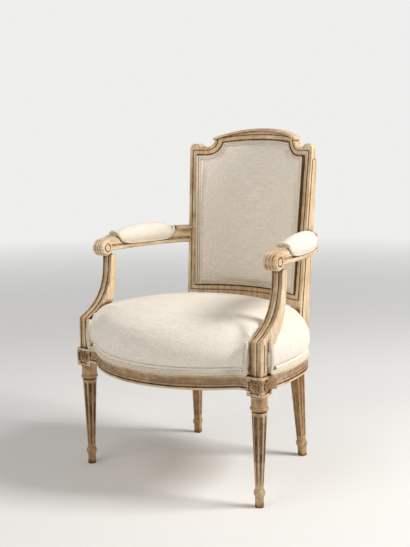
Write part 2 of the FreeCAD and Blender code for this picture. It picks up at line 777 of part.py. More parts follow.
def pad_section(length, low, high, half, inset=0.0):
    core = min(PAD_CORE, half - 1.0) - inset
    wide = half - inset
    top = high - inset
    middle = low + (top - low) * 0.46
    brow = top - (top - low) * 0.16
    items = [(-core, low), (core, low), (wide, middle, wide * 0.72, brow), (0.0, top, -wide * 0.72, brow),
             (-wide, middle, -core, low)]
    return across_arm(length, items)


def pad_form(inset=0.0, sink=0.0):
    """Pad drawn in by an inset, its foot let down by an amount."""
    last = len(PAD_STATIONS) - 1
    wires = []
    for index, (length, low, high, half) in enumerate(PAD_STATIONS):
        move = inset if index == 0 else (-inset if index == last else 0.0)
        wires.append(pad_section(length + move, low - sink, high, half, inset))
    return loft(wires)


def pad_bed():
    """Space that the pad and its welt take out of the arm."""
    wires = []
    first = PAD_STATIONS[0]
    last = PAD_STATIONS[-1]
    stations = [(first[0] - 12.0, 611.0)] + [(s[0] - 5.0, s[1]) for s in PAD_STATIONS[:3]]
    stations += [(s[0], s[1]) for s in PAD_STATIONS[3:6]]
    stations += [(s[0] + 5.0, s[1]) for s in PAD_STATIONS[6:]] + [(last[0] + 11.0, 611.0)]
    for length, low in stations:
        level = low - SOFT_GAP
        wires.append(across_arm(length, [(-40, level), (40, level), (40, 700), (-40, 700)]))
    return loft(wires, True)


def welt_bar():
    """Double cord round the foot of the pad, before the pad is taken out of it."""
    wires = []
    stations = [(PAD_STATIONS[0][0] - 5.5, PAD_STATIONS[0][1] + 4.0)]
    stations += [(s[0] - 4.0, s[1]) for s in PAD_STATIONS[:3]]
    stations += [(s[0], s[1]) for s in PAD_STATIONS[3:6]]
    stations += [(s[0] + 4.0, s[1]) for s in PAD_STATIONS[6:]]
    stations += [(PAD_STATIONS[-1][0] + 5.5, PAD_STATIONS[-1][1] + 4.0)]
    for length, low in stations:
        a = PAD_CORE + WELT_CORD
        z = low
        items = [(-a, z), (a, z), (a + 2.0, z + 2.5, a, z + 5.0), (a + 2.0, z + 7.5, a, z + 10.0), (-a, z + 10.0),
                 (-a - 2.0, z + 7.5, -a, z + 5.0), (-a - 2.0, z + 2.5, -a, z)]
        wires.append(across_arm(length, items, True))
    return loft(wires, True)


def armrest():
    body = moulding(arm_run(), arm_profile())
    side = [(SCROLL_Y, 540.0), (300.0, 540.0), (300.0, 640.0), (100.0, 640.0), (-48.0, 610.5), (-75.0, 604.0),
            (SCROLL_Y, SCROLL_Z + SCROLL_RADIUS - 1.0)]
    body = body.common(prism_x(side, 100.0, 400.0))
    body = body.cut(pad_bed())
    body = body.fuse(scroll())
    body = body.cut(stile_body())
    body = body.cut(loft([stile_section(520, -60, 60, 80, STILE_DEPTH_TOP + 6), stile_section(660, -60, 60, 80,
                                                                                             STILE_DEPTH_TOP + 4)], True))
    body = body.cut(support_slab(support_outline(), -20, 20))
    body = body.cut(rod(V(POST_X, -82.0, 540), V(POST_X, -82.0, SUPPORT_TOP + 20 + FIT), 6.0 + FIT))
    return clean(body.cut(arm_dowel(FIT)))


# Back rails


def crest_items():
    cap = CAP_END_Z
    right = [(EAR_OUT_X - 0.8, CREST_LOW), (EAR_OUT_X, 829.0), (EAR_OUT_X - 2.0, 836.0, EAR_OUT_X - 7.5, EAR_TOP - 0.6),
             (178.0, EAR_TOP + 0.6, 170.0, EAR_TOP - 1.0), (163.0, 836.0, 154.0, VALLEY_Z)]
    mid = math.radians(225.0)
    cove = (154.0 + COVE_RADIUS * math.cos(mid), VALLEY_Z + COVE_RADIUS + COVE_RADIUS * math.sin(mid), NECK_X, cap - 4.0)
    arch = (0.0, TOTAL_HEIGHT - 5.0, -NECK_X, cap - 4.0)
    left_cove = (-cove[0], cove[1], -154.0, VALLEY_Z)
    left = [left_cove, (-163.0, 836.0, -170.0, EAR_TOP - 1.0), (-178.0, EAR_TOP + 0.6, -EAR_OUT_X + 7.5, EAR_TOP - 0.6),
            (-EAR_OUT_X + 2.0, 836.0, -EAR_OUT_X, 829.0), (-EAR_OUT_X + 0.8, CREST_LOW)]
    return right + [cove, arch] + left


def crest_cap():
    items = [(CAP_END_X, CAP_END_Z), (0.0, TOTAL_HEIGHT, -CAP_END_X, CAP_END_Z), (-CAP_END_X, CAP_END_Z - CAP_THICK),
             (0.0, TOTAL_HEIGHT - CAP_THICK, CAP_END_X, CAP_END_Z - CAP_THICK)]
    return prism_y(items, 100, 400).common(back_sheet(-4.0, BACK_THICK + 6.0, 400.0, 920.0))


def crest_tenons(fit=0.0):
    right = loft([stile_section(CREST_LOW - 1, 8 - fit, 26 + fit, 17.0 + fit, 8.0 - fit),
                  stile_section(CREST_LOW + 20 + fit, 8 - fit, 26 + fit, 17.0 + fit, 8.0 - fit)], True)
    return [right, mirrored(right)]


def crest_rail():
    body = prism_y(crest_items(), 100, 400).common(back_sheet(0.0, BACK_THICK))
    body = body.fuse(crest_cap())
    body = body.cut(sight_prism(-WELT_WIDTH))
    body = mould_grooves(panel_rebates(body))
    body = body.cut(crest_tenons(FIT))
    return clean(body)


def back_tenon(fit=0.0):
    """Tenon at the right-hand end of the bottom rail of the back."""
    low, high = BACK_RAIL_LOW + 6.0 - fit, SIGHT_BOTTOM - 4.0 + fit
    return loft([stile_section(low, 14.0 - fit, 42.0, 17.0 + fit, 8.5 - fit),
                 stile_section(high, 14.0 - fit, 42.0, 17.0 + fit, 8.5 - fit)], True)


def back_bottom_rail():
    body = back_sheet(0.0, BACK_THICK, BACK_RAIL_LOW, SIGHT_BOTTOM + WELT_WIDTH)
    body = mould_grooves(panel_rebates(body))
    body = clean(body.cut([stile_body(), mirrored(stile_body())]))
    return clean(body.fuse([back_tenon(), mirrored(back_tenon())]))


# Seat upholstery


def seat_spots():
    """Right half of the seat outline: corner points with outward directions, and a middle point before each."""
    front = front_run()
    side = side_run()

    def on(run, index, share):
        x, y, heading = run.place(index, share)
        way = math.radians(heading)
        return (x, y, math.sin(way), -math.cos(way))
    spots = [on(front, 3, 0.0), on(front, 3, 0.5), on(front, 3, 1.0)]
    spots.append(None)
    for index in range(3):
        start = on(side, index, 0.0)
        spots += [start, on(side, index, 0.5)]
    end = on(side, 2, 1.0)
    spots.append(end)
    rear_x = REAR_BLOCK_X - 14.0
    rear_y = BOW_Y + RAKE * (300.0 - BOW_Z) + 16.0
    drop = BOW_RADIUS - math.sqrt(BOW_RADIUS ** 2 - rear_x ** 2)
    spots.append(((end[0] + rear_x) / 2, (end[1] + rear_y - drop) / 2, 0.5, 0.86))
    spots.append((rear_x, rear_y - drop, 0.5, 0.86))
    return spots, (0.0, rear_y, 0.0, 1.0), (0.0, FRONT_CREST_Y, 0.0, -1.0)


def seat_wire(off, z, scale=1.0):
    """Closed seat outline at a height, moved outwards by an amount and drawn towards the middle of the seat."""
    right, rear, front = seat_spots()
    left = [spot and (-spot[0], spot[1], -spot[2], spot[3]) for spot in reversed(right)]
    ring = right + [rear] + left + [front]

    def put(spot):
        x, y, nx, ny = spot
        return V((x + nx * off) * scale, SEAT_MIDDLE_Y + (y + ny * off - SEAT_MIDDLE_Y) * scale, z)
    edges = []
    count = len(ring)
    for i in range(0, count, 2):
        start = put(ring[i])
        end = put(ring[(i + 2) % count])
        if ring[i + 1] is None:
            chord = end - start
            middle = (start + end) * 0.5 + V(chord.y, -chord.x, 0) * CORNER_SAG
        else:
            middle = put(ring[i + 1])
        edges.append(Part.Arc(start, middle, end).toShape())
    return Part.Wire(edges)


SEAT_SIDES = ((338.0, 3.0), (355.0, 8.5), (374.0, 6.5), (394.0, -4.0), (411.0, -20.0))
SEAT_TOPS = ((0.84, 0.48), (0.60, 0.80), (0.34, 0.95), (0.12, 1.0))
SEAT_TUCK = -7.2
CORNER_SAG = 0.26


def seat_form(inset, low):
    """Domed seat form, drawn in by an inset and standing on the height low."""
    wires = [seat_wire(SEAT_TUCK - inset, low), seat_wire(SEAT_TUCK - inset + 0.2, RAIL_BOTTOM + RAIL_FACE + 12.0)]
    for z, off in SEAT_SIDES:
        wires.append(seat_wire(off - inset, z - inset * 0.3))
    shoulder_z, shoulder_off = SEAT_SIDES[-1]
    for scale, share in SEAT_TOPS:
        z = shoulder_z + (SEAT_CROWN - shoulder_z) * share - inset
        wires.append(seat_wire(shoulder_off - inset, z, scale))
    return loft(wires, True)


def post_space(gap):
    """Room for the arm support and its block in the upholstery."""
    x0 = POST_X - POST_WIDTH / 2 - gap
    outer = 330.0
    upright = box(x0, outer, -330.0, POST_BACK + gap, RAIL_BOTTOM, 374.0)
    sweep = [(-330.0, 373.0), (POST_BACK + gap, 373.0), (-138.0 + gap, 384.5 - gap, -121.0 + gap, 398.0 - gap),
             (-96.0 + gap, 428.0 - gap, -80.0 + gap, 470.0), (-330.0, 470.0)]
    return upright.fuse(prism_x(sweep, x0, outer))


def stile_space(gap):
    """Room for the rear leg and stile in the upholstery."""
    return loft([stile_section(300.0, -gap, STILE_WIDTH + 6 + gap, STILE_DEPTH_LOW + gap, -3 - gap),
                 stile_section(470.0, -gap, STILE_WIDTH + 6 + gap, STILE_DEPTH_LOW + gap, -3 - gap)], True)


def seat_spaces(gap):
    right = [post_space(gap), stile_space(gap)]
    return right + [mirrored(shape) for shape in right]


def seat_cover():
    outer = seat_form(0.0, 318.4)
    inner = seat_form(CLOTH, 310.0)
    body = outer.cut(inner)
    body = body.cut(seat_spaces(0.6))
    return clean(body)


def seat_stuffing():
    body = seat_form(CLOTH + SOFT_GAP, RAIL_BOTTOM + RAIL_FACE + REBATE_UP + 2 * BAND_THICK + BURLAP_THICK + SOFT_GAP)
    body = body.cut(seat_spaces(0.6 + CLOTH + SOFT_GAP))
    return clean(body)


def seat_burlap():
    z = RAIL_BOTTOM + RAIL_FACE + REBATE_UP + 2 * BAND_THICK
    body = Part.Face(seat_wire(-11.0, z)).extrude(V(0, 0, BURLAP_THICK))
    return clean(body.cut(seat_spaces(0.8)))


def seat_webbing():
    """Bands across, and bands from front to back over them, joined where they cross."""
    z = RAIL_BOTTOM + RAIL_FACE + REBATE_UP
    field = Part.Face(seat_wire(-12.0, z)).extrude(V(0, 0, 10)).cut(seat_spaces(1.0))
    bands = []
    half = BAND_WIDE / 2
    for i in range(5):
        y = -215.0 + 84.0 * i
        strip = box(-320, 320, y - half, y + half, z, z + BAND_THICK)
        bands.append(field.common(strip))
    for i in range(5):
        x = 82.0 * (i - 2)
        strip = box(x - half, x + half, -320, 320, z + BAND_THICK, z + 2 * BAND_THICK)
        bands.append(field.common(strip))
    return clean(bands[0].fuse(bands[1:]))


def cord_profile(base_z):
    """Two cords side by side, standing on the rail against the cover."""
    r = WELT_CORD
    wall = -REBATE_IN + CLOTH + 0.5
    out = -1.2 - r
    return [(wall, base_z), (out, base_z), (out + r, base_z + r, out, base_z + 2 * r),
            (out + r, base_z + 3 * r, out, base_z + 4 * r), (wall, base_z + 4 * r)]


def cord_shell():
    """Skin over the seat cover as thick as a cord."""
    return seat_form(-4.4, RAIL_BOTTOM + RAIL_FACE + 4.0).cut(seat_form(-0.2, RAIL_BOTTOM))


def front_welt():
    """Double cord along the front rail that climbs beside both arm supports."""
    reach = 4 * WELT_CORD
    inner = POST_X - POST_WIDTH / 2 - 0.6
    low = RAIL_BOTTOM + RAIL_FACE + 4.0
    rise = cord_shell().common(box(inner - reach, inner, -330.0, -150.0, low, 398.0))
    body = moulding(front_run(), cord_profile(RAIL_BOTTOM + RAIL_FACE + 0.2))
    body = body.common(box(-inner, inner, -400.0, 0.0, 0.0, 500.0))
    body = body.fuse([rise, mirrored(rise)])
    return clean(body.cut([post_space(0.6), mirrored(post_space(0.6))]))


def side_welt():
    """Double cord along the side rail that climbs behind the arm support."""
    reach = 4 * WELT_CORD
    start = POST_BACK + 0.6
    low = RAIL_BOTTOM + RAIL_FACE + 4.0
    rise = cord_shell().common(box(POST_X, 330.0, start, start + reach, low, 400.0))
    body = moulding(side_run(), cord_profile(RAIL_BOTTOM + RAIL_FACE + 0.2)).fuse(rise)
    return clean(body.cut([post_space(0.6), stile_space(0.3), rear_block()]))


def rear_welt():
    """Double cord along the rear rail, between the stiles."""
    drop = RAKE * (300.0 - BOW_Z)
    run = bow_run(4.0)
    profile = [(16.0 + off, z) for off, z in ((-6.9, 318.2), (-3.7, 318.2), (-1.6, 320.7), (-3.7, 323.2),
                                              (-1.6, 325.7), (-3.7, 328.2), (-6.9, 328.2))]
    body = moulding(run, [(-off, z) for off, z in profile])
    body.translate(V(0, drop, 0))
    return clean(body.cut([stile_space(0.4), mirrored(stile_space(0.4)), rear_block(), mirrored(rear_block())]))


# Back upholstery


def back_bulge(front, rear):
    """Crowned panel between a bulging front and the depth of its back."""
    stages = ((436.0, 0.0), (470.0, 0.62), (540.0, 0.93), (640.0, 1.0), (740.0, 0.93), (815.0, 0.62), (866.0, 0.0))
    face_mid = BOW_Y
    wires = []
    for z, share in stages:
        shift = RAKE * (z - BOW_Z)
        half = stile_x(z) - SIGHT_INSET
        drop = BOW_RADIUS - math.sqrt(BOW_RADIUS ** 2 - half ** 2)
        middle = face_mid + shift - 1.0 - (front - 1.0) * share
        side_y = face_mid + shift - drop - 1.0 * share
        rear_mid = face_mid + shift + rear
        rear_side = face_mid + shift - drop + rear * 0.86
        edges = [Part.Arc(V(-half, side_y, z), V(0, middle, z), V(half, side_y, z)).toShape(),
                 Part.LineSegment(V(half, side_y, z), V(half, rear_side, z)).toShape(),
                 Part.Arc(V(half, rear_side, z), V(0, rear_mid, z), V(-half, rear_side, z)).toShape(),
                 Part.LineSegment(V(-half, rear_side, z), V(-half, side_y, z)).toShape()]
        wires.append(Part.Wire(edges))
    return loft(wires)


def back_field(edge, front, back):
    """Sheet that follows the bow inside an offset of the sight edge."""
    return clean(sight_prism(edge).common(back_sheet(front, back)))


BACK_BANDS_DEEP = BACK_REBATE - 2 * BAND_THICK - 0.2
BACK_BURLAP_DEEP = BACK_BANDS_DEEP - BURLAP_THICK
BACK_FLANGE_DEEP = BACK_BURLAP_DEEP - CLOTH


def back_cover():
    edge = -WELT_WIDTH - 0.4
    dome = back_bulge(BACK_CROWN, 12.0).common(sight_prism(edge))
    hollow = back_bulge(BACK_CROWN - CLOTH, 12.0).common(sight_prism(edge - CLOTH))
    flange = sight_prism(-0.5).cut(sight_prism(edge - CLOTH / 2))
    flange = flange.common(back_sheet(BACK_FLANGE_DEEP, BACK_BURLAP_DEEP))
    body = dome.common(back_sheet(-40.0, BACK_BURLAP_DEEP)).cut(hollow).fuse(flange)
    return clean(body)


def back_stuffing():
    edge = -WELT_WIDTH - 0.4 - CLOTH - SOFT_GAP
    dome = back_bulge(BACK_CROWN - CLOTH - SOFT_GAP, 12.0).common(sight_prism(edge))
    return clean(dome.common(back_sheet(-40.0, BACK_BURLAP_DEEP - SOFT_GAP)))


def back_burlap():
    return back_field(-0.6, BACK_BURLAP_DEEP + 0.1, BACK_BANDS_DEEP - 0.1)


def back_webbing():
    """Bands across, and upright bands in front of them, joined where they cross."""
    field = sight_prism(-0.8)
    bands = []
    half = BAND_WIDE / 2
    low = back_sheet(BACK_BANDS_DEEP + BAND_THICK, BACK_BANDS_DEEP + 2 * BAND_THICK)
    high = back_sheet(BACK_BANDS_DEEP, BACK_BANDS_DEEP + BAND_THICK)
    for i in range(4):
        z = 500.0 + 94.0 * i
        bands.append(field.common(low).common(box(-300, 300, 0, 400, z - half, z + half)))
    for i in range(3):
        x = 92.0 * (i - 1)
        bands.append(field.common(high).common(box(x - half, x + half, 0, 400, 300, 900)))
    return clean(bands[0].fuse(bands[1:]))


def back_welt():
    """Double cord round the inside back: a band with a groove between its two cords."""
    band = sight_band(-WELT_WIDTH, -0.3, -2.4, BACK_FLANGE_DEEP - 0.2)
    middle = WELT_WIDTH / 2
    body = band.cut(sight_band(-middle - 0.9, -middle + 0.6, -4.0, -0.9))
    return clean(body)


def outside_cover():
    rear = BACK_THICK - REAR_REBATE
    return back_field(-0.5, rear + 0.3, rear + 0.3 + CLOTH)


def outside_welt():
    rear = BACK_THICK - REAR_REBATE + 0.5 + CLOTH
    band = sight_band(-WELT_WIDTH + 1.5, -0.5, rear, rear + 4.2)
    return clean(band)


# Arm pads


def pad_cover():
    return clean(pad_form().cut(pad_form(CLOTH, 1.0)))


def pad_stuffing():
    return clean(pad_form(CLOTH + SOFT_GAP))


def pad_welt():
    return clean(welt_bar().cut(pad_form(-0.2, 6.0)))


# Corner blocks, screws, pegs and dowels


def flat_rail(run, near, far):
    """Plan band of a rail as high as the corner blocks."""
    return run.strip(near, far, BRACE_LOW).extrude(V(0, 0, BRACE_HIGH - BRACE_LOW))


def rear_band(near, far):
    band = flat_rail(bow_run(4.0), near, far)
    band.translate(V(0, RAKE * (300.0 - BOW_Z), 0))
    return band


def screw_lines():
    """Start and end of the screws in the right-hand corner blocks: two in front, two behind."""
    z = (BRACE_LOW + BRACE_HIGH) / 2
    side = side_run()
    centre_y = BOW_Y + RAKE * (300.0 - BOW_Z) - BOW_RADIUS
    way = V(math.sin(math.radians(21.0)), math.cos(math.radians(21.0)), 0)
    bow = V(0, centre_y, z)
    return [(V(229.0, -112.0, z), V(274.0, -112.0, z)), (V(200.0, -141.0, z), V(200.0, -188.0, z)),
            (side.point(2, 0.35, -44.0, z), side.point(2, 0.35, -15.0, z)),
            (bow + way * (BOW_RADIUS - 27.0), bow + way * (BOW_RADIUS + 4.0))]


def corner_screws(fit=0.0):
    """Countersunk screws of the right-hand corner blocks."""
    screws = []
    for start, end in screw_lines():
        way = end - start
        way.normalize()
        head = Part.makeCone(SCREW_RADIUS * 2 + fit, SCREW_RADIUS + fit, 2.4, start, way)
        screws.append(rod(start, end + way * fit, SCREW_RADIUS + fit).fuse(head))
    return screws


def front_corner_block():
    """Block glued into the corner behind the front leg, cut to the rails and the leg."""
    items = [(250.0, -225.0), (300.0, -150.0), (262.0, -92.0), (246.0, -92.0), (178.0, -160.0), (178.0, -176.0)]
    body = prism_z(items, BRACE_LOW, BRACE_HIGH)
    half = BLOCK_SIDE / 2
    leg = box(LEG_X - half, LEG_X + half, LEG_Y - half, LEG_Y + half, BLOCK_BOTTOM, BLOCK_TOP)
    body = body.cut([flat_rail(front_run(), 20.0, -RAIL_THICK), flat_rail(side_run(), 20.0, -RAIL_THICK), leg])
    return clean(body.cut(corner_screws(FIT)))


def rear_corner_block():
    """Block glued into the corner in front of the rear leg, cut to the rails and the leg."""
    items = [(72.0, 168.0), (128.0, 132.0), (206.0, 76.0), (222.0, 80.0), (250.0, 90.0), (200.0, 200.0),
             (72.0, 240.0)]
    body = prism_z(items, BRACE_LOW, BRACE_HIGH)
    body = body.cut([flat_rail(side_run(), 20.0, -RAIL_THICK), rear_band(10.0, -30.0), rear_block()])
    return clean(body.cut(corner_screws(FIT)))


def frame_pegs(fit=0.0):
    """Pegs through the tenons of the front and side rails in the right-hand block."""
    inner = LEG_X - BLOCK_SIDE / 2
    rear = LEG_Y + BLOCK_SIDE / 2
    front = rod(V(inner + 8.0, rear, 293.0), V(inner + 8.0, -189.0 - fit, 293.0), PEG_RADIUS + fit)
    side = rod(V(inner, -157.0, 305.0), V(281.0 + fit, -157.0, 305.0), PEG_RADIUS + fit)
    return [front, side]


def arm_dowel(fit=0.0):
    """Dowel from the rear end of the right-hand armrest into the stile."""
    run = arm_run()
    z = (ARM_LOW + ARM_HIGH) / 2
    start = run.point(2, -0.9, 0.0, z)
    end = run.point(2, 1.0, 0.0, z)
    way = end - start
    way.normalize()
    return rod(start - way * fit, end + way * fit, DOWEL_RADIUS + fit)


# All the pieces of the chair


def save_pair(name, shape):
    """Right-hand piece and its mirror image."""
    save(name + "_right", shape)
    save(name + "_left", mirrored(shape))


save_pair("front_leg", front_leg())
save_pair("rear_leg", rear_leg())
save("front_rail", front_rail())
save_pair("side_rail", side_rail())
save("rear_rail", rear_rail())
save_pair("corner_block_front", front_corner_block())
save_pair("corner_block_rear", rear_corner_block())
save("corner_block_screws", *both(corner_screws()))
save("seat_frame_pegs", *both(frame_pegs()))
save("crest_rail", crest_rail())
save("back_bottom_rail", back_bottom_rail())
save_pair("arm_support", arm_support())
save_pair("armrest", armrest())
save("arm_dowels", *both([arm_dowel()]))

save("seat_webbing", seat_webbing())
save("seat_burlap", seat_burlap())
save("seat_stuffing", seat_stuffing())
save("seat_cover", seat_cover())
save("seat_welt_front", front_welt())
save_pair("seat_welt_side", side_welt())
save("seat_welt_rear", rear_welt())

save("back_webbing", back_webbing())
save("back_burlap", back_burlap())
save("back_stuffing", back_stuffing())
save("back_cover", back_cover())
save("back_welt", back_welt())
save("outside_back_cover", outside_cover())
save("outside_back_welt", outside_welt())

save_pair("arm_pad_stuffing", pad_stuffing())
save_pair("arm_pad_cover", pad_cover())
save_pair("arm_pad_welt", pad_welt())
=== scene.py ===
import enum
import logging
import math
from dataclasses import dataclass, field

import bmesh
import bpy
import numpy as np
from mathutils import Matrix, Vector


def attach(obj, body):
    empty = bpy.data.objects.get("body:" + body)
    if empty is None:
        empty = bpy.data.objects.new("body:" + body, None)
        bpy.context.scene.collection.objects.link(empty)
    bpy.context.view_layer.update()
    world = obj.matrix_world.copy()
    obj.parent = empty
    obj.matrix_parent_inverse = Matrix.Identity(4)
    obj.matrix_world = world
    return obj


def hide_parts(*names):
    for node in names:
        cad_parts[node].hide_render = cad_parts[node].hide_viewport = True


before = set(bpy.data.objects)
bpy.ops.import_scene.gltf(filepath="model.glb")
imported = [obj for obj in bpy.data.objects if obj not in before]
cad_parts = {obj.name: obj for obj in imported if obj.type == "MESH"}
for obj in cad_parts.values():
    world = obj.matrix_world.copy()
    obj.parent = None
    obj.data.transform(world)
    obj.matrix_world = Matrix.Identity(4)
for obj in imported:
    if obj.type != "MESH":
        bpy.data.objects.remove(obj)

log = logging.getLogger("fauteuil")
BODY = "root"
MM = 0.001
# The chair's middle lies this far behind the line that its plan curves are drawn from, in millimetres.
PLAN_SHIFT = 4.21
Rgb = tuple[float, float, float]
Path = list[Vector]


class Side(enum.Enum):
    """Left or right seen from the front, as the sign of x."""

    LEFT = -1.0
    RIGHT = 1.0


# Finishes


class Shader:
    """A material's node tree, with short calls for the nodes that the finishes need."""

    def __init__(self, name: str) -> None:
        """Starts an empty material with one shader and its output.

        Args:
            name: the material's name.
        """
        self.material = bpy.data.materials.new(name)
        self.material.use_nodes = True
        self.tree = self.material.node_tree
        self.tree.nodes.clear()
        self.output = self.tree.nodes.new("ShaderNodeOutputMaterial")
        self.surface = self.tree.nodes.new("ShaderNodeBsdfPrincipled")
        self.tree.links.new(self.surface.outputs[0], self.output.inputs[0])

    def add(self, kind: str, **settings: object) -> bpy.types.Node:
        """Adds a node and sets its properties.

        Args:
            kind: the node's type name.
            settings: properties of the node.

        Returns:
            The new node.
        """
        node = self.tree.nodes.new(kind)
        for key, value in settings.items():
            setattr(node, key, value)
        return node

    def join(self, source: bpy.types.NodeSocket, target: bpy.types.NodeSocket) -> None:
        """Links two sockets."""
        self.tree.links.new(source, target)

    def place(self, scale: Rgb = (1.0, 1.0, 1.0), turn: Rgb = (0.0, 0.0, 0.0)) -> bpy.types.NodeSocket:
        """Object coordinates, scaled and turned.

        Args:
            scale: factor on each axis.
            turn: rotation in radians.

        Returns:
            The vector socket of the mapping.
        """
        coords = self.add("ShaderNodeTexCoord")
        mapping = self.add("ShaderNodeMapping")
        mapping.inputs["Scale"].default_value = scale
        mapping.inputs["Rotation"].default_value = turn
        self.join(coords.outputs["Object"], mapping.inputs["Vector"])
        return mapping.outputs[0]

    def noise(self, scale: float, detail: float = 4.0, where: bpy.types.NodeSocket | None = None,
              rough: float = 0.55) -> bpy.types.NodeSocket:
        """Noise value over the object.

        Args:
            scale: grains per metre.
            detail: octaves.
            where: coordinates, or None for plain object coordinates.
            rough: how strong the fine octaves are.

        Returns:
            The noise value's socket.
        """
        node = self.add("ShaderNodeTexNoise")
        node.inputs["Scale"].default_value = scale
        node.inputs["Detail"].default_value = detail
        node.inputs["Roughness"].default_value = rough
        self.join(where if where is not None else self.place(), node.inputs["Vector"])
        return node.outputs[0]

    def ramp(self, value: bpy.types.NodeSocket, stops: list[tuple[float, float]]) -> bpy.types.NodeSocket:
        """Grey ramp on a value.

        Args:
            value: socket to read.
            stops: pairs of position and brightness.

        Returns:
            The ramp's colour socket.
        """
        node = self.add("ShaderNodeValToRGB")
        band = node.color_ramp
        while len(band.elements) < len(stops):
            band.elements.new(0.5)
        for element, (spot, bright) in zip(band.elements, stops):
            element.position = spot
            element.color = (bright, bright, bright, 1.0)
        self.join(value, node.inputs[0])
        return node.outputs[0]

    def mix(self, share: bpy.types.NodeSocket, first: bpy.types.NodeSocket | Rgb,
            second: bpy.types.NodeSocket | Rgb, way: str = "MIX") -> bpy.types.NodeSocket:
        """Mix of two colours.

        Args:
            share: how much of the second.
            first: colour or socket.
            second: colour or socket.
            way: blending mode.

        Returns:
            The mixed colour's socket.
        """
        node = self.add("ShaderNodeMix", data_type="RGBA", blend_type=way)
        self.join(share, node.inputs[0])
        for socket, value in ((node.inputs[6], first), (node.inputs[7], second)):
            if isinstance(value, tuple):
                socket.default_value = (*value, 1.0)
            else:
                self.join(value, socket)
        return node.outputs[2]

    def maths(self, way: str, first: bpy.types.NodeSocket | float,
              second: bpy.types.NodeSocket | float = 0.0) -> bpy.types.NodeSocket:
        """One sum on two values.

        Args:
            way: operation name.
            first: number or socket.
            second: number or socket.

        Returns:
            The result's socket.
        """
        node = self.add("ShaderNodeMath", operation=way, use_clamp=False)
        for socket, value in ((node.inputs[0], first), (node.inputs[1], second)):
            if isinstance(value, (int, float)):
                socket.default_value = value
            else:
                self.join(value, socket)
        return node.outputs[0]

    def bump(self, height: bpy.types.NodeSocket, strength: float, distance: float) -> None:
        """Bump on the surface.

        Args:
            height: height value.
            strength: how much of it shows.
            distance: height in metres.
        """
        node = self.add("ShaderNodeBump")
        node.inputs["Strength"].default_value = strength
        node.inputs["Distance"].default_value = distance
        self.join(height, node.inputs["Height"])
        self.join(node.outputs[0], self.surface.inputs["Normal"])


